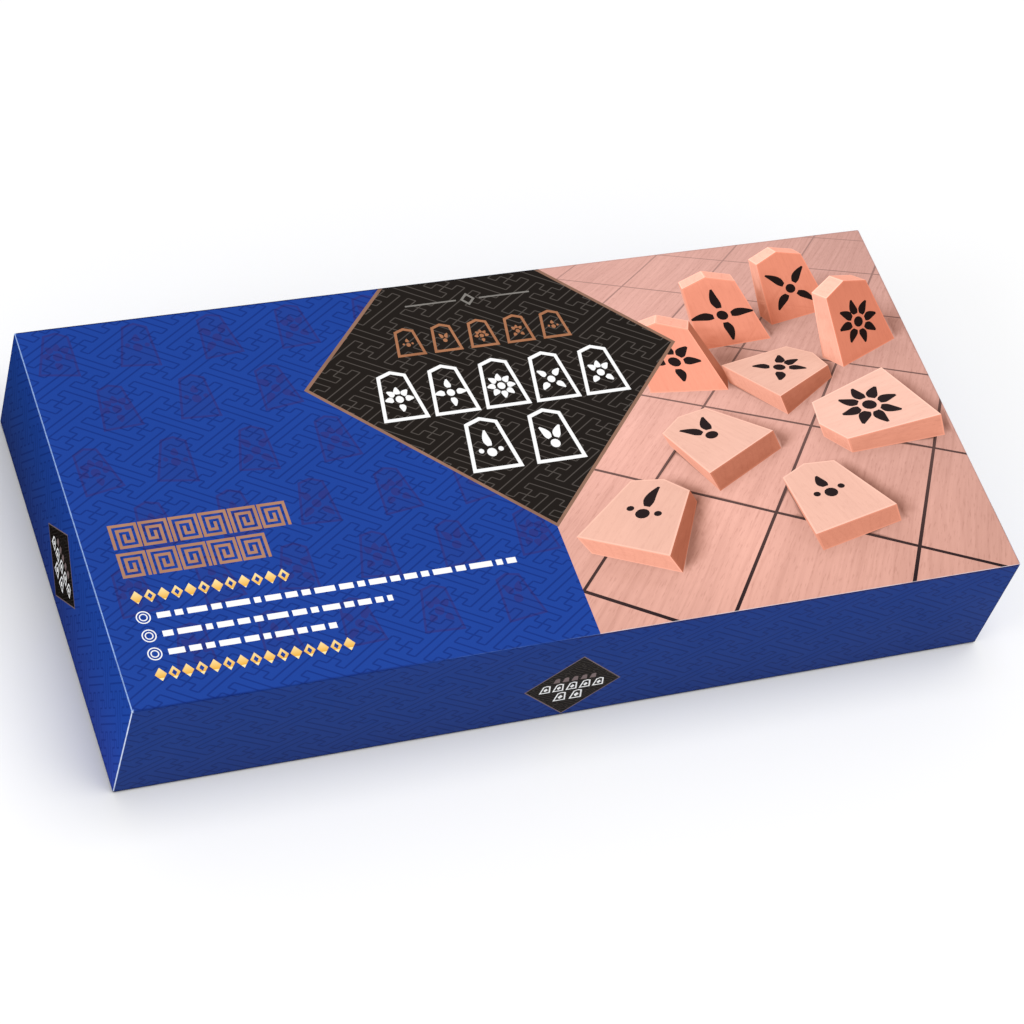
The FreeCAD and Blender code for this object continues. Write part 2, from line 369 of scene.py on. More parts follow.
def bar(x0, y0, x1, y1, w, cap=0.0):
    """A straight stroke of width w."""
    dx, dy = x1 - x0, y1 - y0
    n = math.hypot(dx, dy)
    dx, dy = dx / n, dy / n
    x0, y0, x1, y1 = x0 - dx * cap, y0 - dy * cap, x1 + dx * cap, y1 + dy * cap
    ox, oy = -dy * w / 2, dx * w / 2
    return [(x0 - ox, y0 - oy), (x1 - ox, y1 - oy), (x1 + ox, y1 + oy), (x0 + ox, y0 + oy)]


def inset(poly, d):
    """A convex outline moved in by d on every side."""
    out = []
    n = len(poly)
    for i in range(n):
        a, b, c = poly[i - 1], poly[i], poly[(i + 1) % n]
        e1 = np.subtract(b, a) / np.hypot(*np.subtract(b, a))
        e2 = np.subtract(c, b) / np.hypot(*np.subtract(c, b))
        n1, n2 = np.array([-e1[1], e1[0]]), np.array([-e2[1], e2[0]])
        p1, p2 = np.array(a) + n1 * d, np.array(b) + n2 * d
        s = ((p2 - p1)[0] * e2[1] - (p2 - p1)[1] * e2[0]) / (e1[0] * e2[1] - e1[1] * e2[0])
        out.append(tuple(p1 + e1 * s))
    return out


# Ways each kind of piece goes, as seen from its foot: the marks of beginners'
# sets, a dot with short strokes
N_, S_, E_, W_ = (0, 1), (0, -1), (1, 0), (-1, 0)
NE_, NW_, SE_, SW_ = (1, 1), (-1, 1), (1, -1), (-1, -1)
WAYS = {
    "king": [N_, S_, E_, W_, NE_, NW_, SE_, SW_],
    "gold": [N_, S_, E_, W_, NE_, NW_],
    "silver": [N_, NE_, NW_, SE_, SW_],
    "rook": [N_, S_, E_, W_],
    "bishop": [NE_, NW_, SE_, SW_],
    "lance": [N_],
    "knight": [(0.5, 1), (-0.5, 1)],
    "pawn": [N_],
}


def stroke(cx, cy, dx, dy, r0, r1, w, bow=0.06):
    """A short brush stroke away from a centre: full where it starts, drawn out fine at its end."""
    ox, oy = -dy, dx
    near, far = [], []
    n = 8
    for i in range(n + 1):
        f = i / n
        r, b = r0 + (r1 - r0) * f, bow * (r1 - r0) * math.sin(math.pi * f)
        half = w / 2 * (0.55 + 0.45 * min(1.0, f / 0.2)) * (1 - 0.78 * max(0.0, (f - 0.35) / 0.65) ** 1.4)
        x, y = cx + dx * r + ox * b, cy + dy * r + oy * b
        far.append((x - ox * half, y - oy * half))
        near.append((x + ox * half, y + oy * half))
    return far + near[::-1]


def move_marks(kind, cx, cy, s, w=None):
    """The ways a piece goes, as brush strokes of about length s round a dot."""
    w = s * 0.36 if w is None else w
    out = [disc(cx, cy, w * 0.62, 14)]
    if kind in ("pawn", "lance"):
        out += [disc(cx + side * w * 1.25, cy + w * 0.35, w * 0.34, 10) for side in (-1, 1)]
    for dx, dy in WAYS[kind]:
        n = math.hypot(dx, dy)
        dx, dy = dx / n, dy / n
        reach = {"rook": 1.28, "bishop": 1.28, "lance": 1.42, "knight": 1.25}.get(kind, 1.0)
        out.append(stroke(cx, cy, dx, dy, w * 0.95, s * reach, w, 0.06 if dx >= 0 else -0.06))
    return out


def clip_rect(poly, x0, y0, x1, y1):
    """The part of an outline inside a rectangle."""
    for axis, lim, sign in ((0, x0, 1), (0, x1, -1), (1, y0, 1), (1, y1, -1)):
        out = []
        for i, b in enumerate(poly):
            a = poly[i - 1]
            ia, ib = (a[axis] - lim) * sign >= 0, (b[axis] - lim) * sign >= 0
            if ia != ib:
                f = (lim - a[axis]) / (b[axis] - a[axis])
                out.append((a[0] + (b[0] - a[0]) * f, a[1] + (b[1] - a[1]) * f))
            if ib:
                out.append(b)
        poly = out
        if len(poly) < 3:
            return []
    return poly


def inside(px, py, poly):
    """Which points lie inside an outline."""
    x = np.array([p[0] for p in poly])
    y = np.array([p[1] for p in poly])
    hit = np.zeros(len(px), bool)
    box = (px >= x.min()) & (px <= x.max()) & (py >= y.min()) & (py <= y.max())
    idx = np.nonzero(box)[0]
    if not len(idx):
        return hit
    qx, qy = px[idx], py[idx]
    odd = np.zeros(len(idx), bool)
    j = len(x) - 1
    for i in range(len(x)):
        if y[i] != y[j]:
            cross = ((y[i] > qy) != (y[j] > qy)) & \
                (qx < (x[j] - x[i]) * (qy - y[i]) / (y[j] - y[i]) + x[i])
            odd ^= cross
        j = i
    hit[idx] = odd
    return hit


# --------------------------------------------------------- printed panels
# The lid's paper is laid out as five panels that meet along the folded edges.
# Each is a closed sheet of paper thickness; its printed face is cut into the
# printed areas.
FACES = {
    # along u, along v, outward, centre of the sharp box face
    "top": ((1, 0, 0), (0, 1, 0), (0, 0, 1), (0, 0, TOP)),
    "front": ((1, 0, 0), (0, 0, 1), (0, -1, 0), (0, -HY, 0)),
    "back": ((-1, 0, 0), (0, 0, 1), (0, 1, 0), (0, HY, 0)),
    "left": ((0, -1, 0), (0, 0, 1), (-1, 0, 0), (-HX, 0, 0)),
    "right": ((0, 1, 0), (0, 0, 1), (1, 0, 0), (HX, 0, 0)),
}


def round_box(p, depth=0.0):
    """Points of the sharp box moved on to the box with soft edges, and their normals."""
    lo = np.array([-HX + EDGE, -HY + EDGE, RIM + EDGE])
    hi = np.array([HX - EDGE, HY - EDGE, TOP - EDGE])
    core = np.clip(p, lo, hi)
    d = p - core
    d /= np.linalg.norm(d, axis=1)[:, None]
    return core + d * (EDGE - depth), d


def triangulate(points, loops, loose):
    """Triangles over the hull of the points, keeping every loop's edges."""
    pts, edges = [], []
    for loop in loops:
        k = len(pts)
        pts.extend(loop)
        edges.extend((k + i, k + (i + 1) % len(loop)) for i in range(len(loop)))
    pts.extend(points)
    pts.extend(loose)
    out = delaunay_2d_cdt([Vector((float(a), float(b))) for a, b in pts], edges, [], 0, 1e-4, False)
    v = np.array([tuple(p) for p in out[0]])
    f = np.array([tuple(t) for t in out[2]], int)
    # keep all triangles turned the same way
    a, b, c = v[f[:, 0]], v[f[:, 1]], v[f[:, 2]]
    area = (b[:, 0] - a[:, 0]) * (c[:, 1] - a[:, 1]) - (b[:, 1] - a[:, 1]) * (c[:, 0] - a[:, 0])
    f[area < 0] = f[area < 0][:, ::-1]
    return v, f


def build_panel(name, face, shapes, mats, spacing, picture=None, fine=None):
    """shapes: outline, ink, and for the picture its surface; later ones lie on top."""
    fu, fv, fn, fc = (np.array(a, float) for a in FACES[face])
    hu = HX if abs(fu[0]) else HY
    v0, v1 = (-HY, HY) if face == "top" else (RIM, TOP)
    rings = [rect(-hu + d, v0 + d, hu - d, v1 - d)
             for d in (0.0, EDGE * 0.27, EDGE * 0.52, EDGE * 0.77, EDGE)]
    cut = []
    for s in shapes:
        poly = clip_rect(s[0], -hu, v0, hu, v1)
        if len(poly) >= 3:
            cut.append((poly,) + tuple(s[1:]))
    rng = np.random.default_rng(7)
    loose = []

    def scatter(a0, b0, a1, b1, gap):
        for a in np.arange(a0 + gap / 2, a1, gap):
            for b in np.arange(b0 + gap / 2, b1, gap):
                loose.append((a + rng.uniform(-0.12, 0.12) * gap, b + rng.uniform(-0.12, 0.12) * gap))

    lim = EDGE + 0.3
    if fine:
        scatter(fine[0], v0 + lim, hu - lim, v1 - lim, fine[1])
        scatter(-hu + lim, v0 + lim, fine[0], v1 - lim, spacing)
    else:
        scatter(-hu + lim, v0 + lim, hu - lim, v1 - lim, spacing)
    # points along the outline, so that it has no very long edges
    n = max(2, int(2 * hu / 12))
    side = [(-hu + 2 * hu * i / n, vv) for i in range(1, n) for vv in (v0, v1)]
    v, f = triangulate(side, rings + [c[0] for c in cut], loose)
    cen = v[f].mean(1)
    which = np.full(len(f), -1)
    for i, c in enumerate(cut):
        which[inside(cen[:, 0], cen[:, 1], c[0])] = i
    inks = sorted({c[1] for c in cut})
    ids = np.array([inks.index(c[1]) for c in cut])
    mat_out = ids[which]
    sharp = fc + v[:, :1] * fu + v[:, 1:] * fv
    outer, normal = round_box(sharp)
    # edges used once are the outline
    e = np.concatenate([f[:, [0, 1]], f[:, [1, 2]], f[:, [2, 0]]])
    key = {}
    for a, b in e:
        key[(a, b)] = True
    rim = [(a, b) for a, b in e if (b, a) not in key]
    ring_ids = sorted({a for a, b in rim})
    back_of = {a: i for i, a in enumerate(ring_ids)}
    vi, fi = triangulate([tuple(v[a]) for a in ring_ids],
                         [rect(-hu + EDGE, v0 + EDGE, hu - EDGE, v1 - EDGE)], [])
    # the inner sheet's own outline points, matched to the outer ones
    n_out = len(v)
    match = {}
    for a in ring_ids:
        d = np.abs(vi - v[a]).sum(1)
        match[a] = int(d.argmin())
    inner, in_normal = round_box(fc + vi[:, :1] * fu + vi[:, 1:] * fv, PAPER)
    verts = np.concatenate([outer, inner])
    faces = [tuple(t) for t in f]
    faces += [tuple(n_out + t[::-1]) for t in fi]
    faces += [(b, a, n_out + match[a], n_out + match[b]) for a, b in rim]
    blank = inks.index(shapes[0][1])
    mat_ids = np.concatenate([mat_out, np.full(len(fi) + len(rim), blank)])
    ob = new_object(name, verts * MM, faces, [mats[i] for i in inks], mat_ids, True,
                    np.concatenate([normal, -in_normal]))
    if picture is not None:
        n_loops = len(ob.data.loops)
        tint = np.ones((n_loops, 4), np.float32)      # colour, and how strong the grain shows
        grain = np.zeros((n_loops, 3), np.float32)
        corner_v = v[f].reshape(-1, 2)
        corner_s = np.repeat([-1 if cut[i][1] != "picture" else cut[i][2] for i in which], 3)
        for s in sorted(set(corner_s) - {-1}):
            at = np.nonzero(corner_s == s)[0]
            uniq, back = np.unique(np.round(corner_v[at], 5), axis=0, return_inverse=True)
            col, gr = picture.shade(s, uniq)
            tint[at, :3] = col[back.ravel()]
            tint[at, 3] = picture.grain.get(s, 1.0)
            grain[at] = gr[back.ravel()]
        a = ob.data.attributes.new("tint", "FLOAT_COLOR", "CORNER")
        a.data.foreach_set("color", tint.ravel())
        a = ob.data.attributes.new("grain", "FLOAT_VECTOR", "CORNER")
        a.data.foreach_set("vector", grain.ravel())
    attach(ob, "lid")
    return ob


# ----------------------------------------------------- picture on the lid
# A generic still life: plain tiles marked with brush strokes, standing and lying on a ruled wooden
# board, laid out in three dimensions and drawn in perspective. Unit: one
# king's width.
class StillLife:
    def __init__(self):
        el, dist = math.radians(43.0), 6.6
        self.f, self.uc, self.vc = 268.0, 106.0, -6.0
        self.C = np.array([0, -dist * math.cos(el), dist * math.sin(el)])
        self.F = -self.C / np.linalg.norm(self.C)
        self.R = np.array([1.0, 0, 0])
        self.U = np.cross(self.R, self.F)
        self.surfaces = []           # point, normal, colour, frame for the grain, solid
        self.solids = []             # planes of each tile
        self.shapes = []
        self.wood = None
        self.rules = set()           # surfaces that are ruled lines, paler far off
        self.grain = {}              # how strong the grain shows, by surface
        key = np.array([-0.55, -0.55, 0.85])
        self.key = key / np.linalg.norm(key)

    def project(self, p):
        q = np.atleast_2d(p) - self.C
        w = q @ self.F
        return np.stack([self.uc + self.f * (q @ self.R) / w, self.vc + self.f * (q @ self.U) / w], 1)

    def outline(self, pts):
        return [tuple(p) for p in self.project(np.array(pts, float))]

    def surface(self, point, normal, colour, frame, offset, solid=-1):
        self.surfaces.append((np.array(point, float), np.array(normal, float),
                              np.array(colour, float), np.array(frame, float), offset, solid))
        return len(self.surfaces) - 1

    def draw(self, poly, surf):
        # keep every outline the same way round
        a = sum(poly[i - 1][0] * poly[i][1] - poly[i][0] * poly[i - 1][1] for i in range(len(poly)))
        self.shapes.append((poly if a > 0 else poly[::-1], "picture", surf))

    def board(self, yaw, pitch, wood, line):
        b = math.radians(yaw)
        e1 = np.array([math.cos(b), math.sin(b), 0])
        e2 = np.array([-math.sin(b), math.cos(b), 0])
        fr = [e1, e2, np.array([0, 0, 1.0])]
        s = self.surface((0, 0, 0), (0, 0, 1), wood, fr, 0.0)
        self.draw(rect(-5, -HY - 2, HX + 2, HY + 2), s)
        ink = self.surface((0, 0, 0), (0, 0, 1), line, fr, 0.0)
        self.wood = np.array(wood, float)
        self.rules.add(ink)
        self.grain[ink] = 0.25
        for ea, eb, gap, off in ((e1, e2, pitch[0], 0.38), (e2, e1, pitch[1], 0.15)):
            for k in range(-9, 12):
                base = ea * (k * gap + off)
                for t0, t1 in ((-12.0, 16.0),):
                    p0, p1 = base + eb * t0, base + eb * t1
                    w0, w1 = (p0 - self.C) @ self.F, (p1 - self.C) @ self.F
                    lim = 2.2
                    if w0 < lim and w1 < lim:
                        continue
                    if w0 < lim:
                        p0 = p0 + (p1 - p0) * (lim - w0) / (w1 - w0)
                    if w1 < lim:
                        p1 = p1 + (p0 - p1) * (lim - w1) / (w0 - w1)
                    h = ea * 0.015
                    poly = self.outline([p0 - h, p1 - h, p1 + h, p0 + h])
                    poly = clip_rect(poly, -5, -HY - 2, HX + 2, HY + 2)
                    if len(poly) >= 3:
                        self.draw(poly, ink)

    def tile(self, kind, x, y, yaw, how, size=1.0, z=0.0, mark=True):
        w, h, t = 1.0 * size, 1.12 * size, 0.33 * size
        b = math.radians(yaw)
        a = np.array([math.cos(b), math.sin(b), 0])
        if how == "lie":
            up, c = np.array([-math.sin(b), math.cos(b), 0]), np.array([0, 0, 1.0])
        else:
            up, c = np.array([0, 0, 1.0]), np.array([math.sin(b), -math.cos(b), 0])
        base = np.array([x, y, z]) - (up * h / 2 if how == "lie" else 0)
        side, point, fall = math.tan(math.radians(8.5)), math.tan(math.radians(19)), math.tan(math.radians(6))
        hw = (w / 2 - h * side) / (1 - point * side)
        hs = h - hw * point
        out = [(-w / 2, 0), (w / 2, 0), (hw, hs), (0, h), (-hw, hs)]

        def low(p):
            return base + a * p[0] + up * p[1]

        def high(p):
            return low(p) + c * (t - fall * p[1])

        lows, highs = [low(p) for p in out], [high(p) for p in out]
        faces = [("face", highs)] + [("back", lows[::-1])]
        for i in range(5):
            j = (i + 1) % 5
            faces.append(("side", [lows[i], lows[j], highs[j], highs[i]]))
        planes, solid = [], len(self.solids)
        for kind_, pts in faces:
            n = np.cross(pts[1] - pts[0], pts[2] - pts[0])
            n /= np.linalg.norm(n)
            planes.append((n, n @ pts[0]))
        self.solids.append((np.array([p[0] for p in planes]), np.array([p[1] for p in planes])))
        for (kind_, pts), (n, d) in zip(faces, planes):
            if n @ (self.C - pts[0]) <= 0:
                continue
            face_col = (1.17, 0.575, 0.445)
            if kind_ == "face":
                face_col = (0.94, 0.555, 0.445) if how == "lie" else (1.27, 0.54, 0.395)
            edge = self.surface(pts[0], n, tuple(v * 1.13 for v in face_col), [a, up, c],
                                3.7 * (solid + 1), solid)
            self.draw(self.outline(pts), edge)
            self.grain[edge] = 0.2
            s = self.surface(pts[0], n, face_col, [a, up, c], 3.7 * (solid + 1), solid)
            self.grain[s] = 0.38 if kind_ == "face" else 0.62
            ax = (pts[1] - pts[0]) / np.linalg.norm(pts[1] - pts[0])
            ay = np.cross(n, ax)
            flat = [((q - pts[0]) @ ax, (q - pts[0]) @ ay) for q in pts]
            self.draw(self.outline([pts[0] + ax * u + ay * v for u, v in inset(flat, 0.016)]), s)
            if kind_ == "face" and mark:
                ink = self.surface(pts[0], n, (0.024, 0.015, 0.016), [a, up, c], 0.0, solid)
                self.grain[ink] = 0.0
                for poly in move_marks(kind, 0, h * 0.45, size * 0.33, size * 0.125):
                    self.draw(self.outline([high(p) for p in poly]), ink)

    def shade(self, s, uv):
        """Colour of surface s at panel points uv, with soft shadow, and its grain place."""
        point, n, colour, frame_, offset, solid = self.surfaces[s]
        d = self.F + (uv[:, :1] - self.uc) / self.f * self.R + (uv[:, 1:] - self.vc) / self.f * self.U
        w = ((point - self.C) @ n) / (d @ n)
        p = self.C + d * w[:, None]
        rng = np.random.default_rng(3)
        side = np.cross(self.key, [0, 0, 1.0])
        side /= np.linalg.norm(side)
        up = np.cross(side, self.key)
        lights = []
        for i in range(14):
            r, a = 0.24 * math.sqrt((i + 0.5) / 14), i * 2.39996
            v = self.key + side * r * math.cos(a) + up * r * math.sin(a)
            lights.append((v / np.linalg.norm(v), 0.66 / 14))
        for i in range(22):
            zz = 1 - (i + 0.5) / 22
            a = i * 2.39996
            r = math.sqrt(1 - zz * zz)
            lights.append((np.array([r * math.cos(a), r * math.sin(a), zz]), 0.62 / 22))
        total = np.zeros(len(p))
        start = p + n * 0.004
        for L, power in lights:
            cosine = float(n @ L)
            if cosine <= 0:
                continue
            lit = np.ones(len(p))
            for k, (pn, pd) in enumerate(self.solids):
                if k == solid:
                    continue
                den = pn @ L
                num = pd[None, :] - start @ pn.T
                with np.errstate(divide="ignore", invalid="ignore"):
                    sgn = num / den[None, :]
                enter = np.where(den < 0, sgn, -np.inf).max(1)
                leave = np.where(den > 0, sgn, np.inf).min(1)
                lit[(enter < leave) & (leave > 0)] = 0.0
            total += lit * cosine * power
        total = 0.20 + total
        # shade on wood is warmer than the light on it
        turn = np.array([0.0, 0.48, 0.78] if solid >= 0 else [0.0, 0.22, 0.34])
        warm = np.clip(total, 0, 1)[:, None] ** turn
        if solid < 0:
            # the board is lit most strongly round the middle of the picture
            far2 = (uv[:, 0] - 65.0) ** 2 + (uv[:, 1] + 10.0) ** 2
            total *= 0.63 + 0.36 * np.exp(-far2 / 11250.0)
        base = np.repeat(colour[None, :], len(p), 0)
        if s in self.rules:
            k = np.clip((w - 5.0) / 5.0, 0, 1)[:, None] * 0.62
            base = base * (1 - k) + self.wood * k
        col = base * total[:, None] * warm
        if solid < 0:
            # warmer towards the front, cooler far off
            k = np.clip((uv[:, 1:] + HY) / (2 * HY), 0, 1)
            col = col * (np.array([1.0, 0.955, 0.91]) * (1 - k) + np.array([1.0, 1.01, 1.03]) * k)
        local = (p - point) @ frame_.T
        local[:, 0] += offset
        local[:, 2] += offset * 0.37
        return col, local


life = StillLife()
life.board(-31.0, (1.24, 1.38), (0.955, 0.530, 0.450), (0.034, 0.020, 0.024))
for spec in [
    ("bishop", 0.98, 2.72, 16, "stand", 0.97),
    ("rook", -0.02, 2.20, 4, "stand", 0.97),
    ("king", 1.42, 1.52, 30, "stand", 1.0),
    ("gold", -0.72, 1.22, -10, "stand", 0.93),
    ("silver", 0.42, 0.86, -58, "lie", 0.93),
    ("knight", -0.66, -0.20, 34, "lie", 0.89),
    ("king", 1.02, -0.16, 102, "lie", 1.0),
    ("lance", -1.42, -1.16, -26, "lie", 0.84),
    ("pawn", 0.24, -1.24, 14, "lie", 0.80),
]:
    life.tile(*spec)


# ------------------------------------------------- layout of the lid's print
def top_layout():
    shapes = list(life.shapes)
    # blue ground left of the picture
    shapes.append((rect(-HX - 1, -HY - 1, 0.5, HY + 1), "blue"))

    def at(x, y):
        """Place from the back left corner."""
        return -HX + x, HY - y

    # faint tile silhouettes in staggered rows
    spots = []
    for r, y in enumerate((13, 41, 69, 97, 125, 153)):
        for c in range(7):
            x = 14 + c * 32 + (16 if r % 2 else 0)
            spots.append((x, y, (-9, 7, 3, -6, 10, -3, 5)[(c * 3 + r * 2) % 7]))
    for i, (x, y, deg) in enumerate(spots):
        if x > 176:
            continue
        cx, cy = at(x, y)
        outer = tile(cx, cy, 16.5, 21.5, deg)
        shapes.append((outer, "ghost"))
        shapes.append((inset(outer, 1.0), "haze"))
        kind = ("gold", "silver", "rook", "bishop", "king", "pawn", "knight")[(i * 5) % 7]
        for m in move_marks(kind, cx, cy - 1.4, 6.4, 3.1):
            shapes.append((turned(m, cx, cy, deg), "ghost"))
    # the great lozenge with its ring
    lx, ly = 0.8, 42.5
    shapes.append((lozenge(lx, ly, 80.0), "frame"))
    shapes.append((lozenge(lx, ly, 78.1), "dark"))
    # inside it: a fine rule, a row of five small tiles, five large, two large
    x, y = at(185, 11)
    shapes.append((rect(x - 27, y - 0.35, x - 5, y + 0.35), "grey"))
    shapes.append((rect(x + 5, y - 0.35, x + 27, y + 0.35), "grey"))
    shapes.append((lozenge(x, y, 3.2), "grey"))
    shapes.append((lozenge(x, y, 1.9), "dark"))
    for i in range(5):
        x, y = at(153.5 + 15.7 * i, 28.5)
        o = tile(x, y, 12.4, 14.2)
        shapes.append((o, "bronze"))
        shapes.append((inset(o, 1.15), "dark"))
        for m in move_marks(("pawn", "knight", "gold", "silver", "pawn")[i], x, y - 1.5, 3.1, 1.5):
            shapes.append((m, "bronze"))
    for i, kind in enumerate(("gold", "rook", "king", "bishop", "silver")):
        x, y = at(141.5 + 21.6 * i, 53.8)
        o = tile(x, y, 19.4, 24.5)
        shapes.append((o, "white"))
        shapes.append((inset(o, 1.5), "dark"))
        for m in move_marks(kind, x, y - 1.9, 5.2 if kind in ("rook", "bishop") else 6.0, 2.7):
            shapes.append((m, "white"))
    for i, kind in enumerate(("lance", "knight")):
        x, y = at(170.3 + 27.0 * i, 82.2)
        o = tile(x, y, 21.5, 26.0)
        shapes.append((o, "white"))
        shapes.append((inset(o, 1.6), "dark"))
        for m in move_marks(kind, x, y - 4.4, 7.6, 3.3):
            shapes.append((m, "white"))

    # lower left: two bands of squared spirals
    def spiral(x0, y0, s, lw, flip):
        g = s / 4.15
        path = [(0, 0), (0, s), (s, s), (s, 0), (g, 0), (g, s - g), (s - g, s - g), (s - g, g),
                (2 * g, g), (2 * g, s - 2 * g)]
        path = [(x0 + (s - a if flip else a), y0 + b) for a, b in path]
        for p, q in zip(path, path[1:]):
            b_ = bar(*p, *q, lw, lw / 2)
            area = sum(b_[i - 1][0] * b_[i][1] - b_[i][0] * b_[i - 1][1] for i in range(4))
            shapes.append((b_ if area > 0 else b_[::-1], "copper"))

    for n, (row_y, count) in enumerate(((105.6, 6), (118.6, 5))):
        for i in range(count):
            x, y = at(12.6 + 11.7 * i, row_y)
            spiral(x, y, 9.9, 1.25, (i + n) % 2 == 1)
    # gold rows of small lozenges
    for row_y, n, gap in ((128.2, 12, 5.2), (162.4, 15, 5.2)):
        for i in range(n):
            x, y = at(14.6 + gap * i, row_y)
            shapes.append((lozenge(x, y, 2.3, 2.9), "gold"))
            if i % 2:
                shapes.append((lozenge(x, y, 1.0, 1.4), "blue"))
    # three rows: a double ring, then plain strokes
    lengths = (5.2, 3.1, 7.6, 4.0, 9.2, 2.6, 6.3, 4.7, 3.4, 8.1, 5.6, 2.9, 6.9, 3.8)
    for n, (row_y, end) in enumerate(((137.2, 163.0), (145.4, 110.0), (153.4, 86.0))):
        x, y = at(14.8, row_y)
        for r, ink in ((2.80, "white"), (2.34, "blue"), (1.64, "white"), (1.20, "blue")):
            shapes.append((disc(x, y, r, 28), ink))
        a, k = 20.0, n * 3
        while a < end - 2.0:
            w = min(lengths[k % len(lengths)], end - a)
            x0, y0 = at(a, row_y)
            shapes.append((rect(x0, y0 - 1.25, x0 + w, y0 + 1.25), "white"))
            a += w + 1.7
            k += 1
    return shapes


def small_badge(shapes, cx, cy, half, flipped=False):
    """A small dark lozenge with two rows of tiles, as on the lid's walls."""
    shapes.append((lozenge(cx, cy, half), "rule"))
    shapes.append((lozenge(cx, cy, half - 0.62), "dark"))
    for i in range(5):
        o = tile(cx - 7.6 + 3.8 * i, cy + 5.0, 2.7, 3.1)
        shapes.append((o, "rule"))
    for i in range(5):
        o = tile(cx - 11.2 + 5.6 * i, cy - 0.2, 4.7, 5.4)
        shapes.append((o, "white"))
        shapes.append((inset(o, 0.62), "dark"))
        shapes.append((lozenge(cx - 11.2 + 5.6 * i, cy - 0.6, 0.95, 1.25), "white"))
    for i in range(2):
        o = tile(cx - 3.4 + 6.8 * i, cy - 7.0, 5.3, 6.2)
        shapes.append((o, "white"))
        shapes.append((inset(o, 0.65), "dark"))
        shapes.append((lozenge(cx - 3.4 + 6.8 * i, cy - 7.5, 1.1, 1.5), "white"))


# ---------------------------------------------------- printed paper materials
def sheet_place(t, face):
    """Place on the flat sheet before folding, so that the fret runs on over the edges."""
    x, y, z = t.xyz()
    if face == "top":
        return x, y
    if face == "front":
        return x, t.add(z, -(HY + TOP) * MM)
    if face == "back":
        return x, t.sub((HY + TOP) * MM, z)
    if face == "left":
        return t.add(z, -(HX + TOP) * MM), y
    return t.sub((HX + TOP) * MM, z), y


def edge_wear_and_highlight(t):
    """How far the print is worn off along the folded edges, 0 to 1, with painted highlight on the edges towards the
    light; the distance to the long top edges, for the painted shade there; painted shade just above the rim; and the
    upright edges' mask.
    """
    x, y, z = t.xyz()
    dx = t.sub(HX * MM, t.m("ABSOLUTE", x))
    dy = t.sub(HY * MM, t.m("ABSOLUTE", y))
    dz = t.sub(TOP * MM, z)
    end = t.m("MAXIMUM", dx, dz)         # top edge of the two ends
    long = t.m("MAXIMUM", dy, dz)        # top edge of the two long sides
    post = t.m("MAXIMUM", dx, dy)        # four upright edges
    vec = t.coords()
    patch = t.noise(vec, 38.0, 3.0, 0.6)
    fine = t.noise(vec, 420.0, 3.0, 0.65)
    wob = t.mul(t.sub(fine, 0.5), 0.00022)
    # painted highlight: the edges on the left half, towards the light, are drawn paler than those on the right
    left = t.remap(x, -0.05, 0.05, 1.0, 0.45)
    w_end = t.remap(t.add(end, wob), 0.00030, 0.00052, 1.0, 0.0)
    w_post = t.remap(t.add(post, wob), 0.00031, 0.00053, 1.0, 0.0)
    w_long = t.remap(t.add(long, wob), 0.00014, 0.00036, 1.0, 0.0)
    keep_end = t.mul(t.remap(patch, 0.25, 0.42, 0.82, 1.0), left)
    keep_post = t.mul(t.remap(patch, 0.22, 0.45, 0.85, 1.0), t.remap(x, -0.05, 0.05, 1.0, 0.12))
    keep_long = t.mul(t.remap(patch, 0.36, 0.62, 0.08, 0.34), t.remap(x, -0.07, -0.03, 0.2, 1.0))
    wear_and_highlight = t.most(t.mul(w_end, keep_end), t.mul(w_post, keep_post), t.mul(w_long, keep_long))
    corner = t.remap(t.most(dx, dy, dz), 0.0004, 0.0011, 1.0, 0.0)
    wear_and_highlight = t.most(wear_and_highlight, t.mul(corner, t.remap(fine, 0.3, 0.6, 0.5, 1.0)))
    # painted shade: the print is darker in the lowest millimetre or so above the rim
    rim = t.remap(t.sub(z, RIM * MM), 0.0006, 0.0013, 0.30, 1.0)
    return wear_and_highlight, long, rim, w_post


def away_folds(t):
    """The folds that turn away from the light, a little darker: along the back and round the right end."""
    x, y, z = t.xyz()
    top = t.sub(TOP * MM, z)
    back = t.sub(HY * MM, y)
    right = t.sub(HX * MM, x)
    near = t.m("MAXIMUM", back, top)
    for a, b in ((right, top), (right, t.sub(HY * MM, t.m("ABSOLUTE", y))), (back, t.sub(HX * MM, t.m("ABSOLUTE", x)))):
        near = t.m("MINIMUM", near, t.m("MAXIMUM", a, b))
    return t.remap(near, 0.0005, 0.0011, 1.0, 0.0)


def paper_bump(t, strength=0.10):
    """Slight waves of the glued paper and its fine tooth."""
    vec = t.coords()
    big = t.bump(t.noise(vec, 16.0, 2.0, 0.5), 0.5, 0.0006)
    return t.bump(t.noise(vec, 900.0, 2.0, 0.6), strength, 0.00004, big)


def wall_flap(t, face):
    """Step where the long side's paper passes round the corner under the end's paper."""
    x, y, z = t.xyz()
    if face in ("left", "right"):
        d = t.sub((HY - 14.0) * MM, t.m("ABSOLUTE", y))
        return t.remap(d, -0.00025, 0.00025, 1.0, 0.0)
    return None


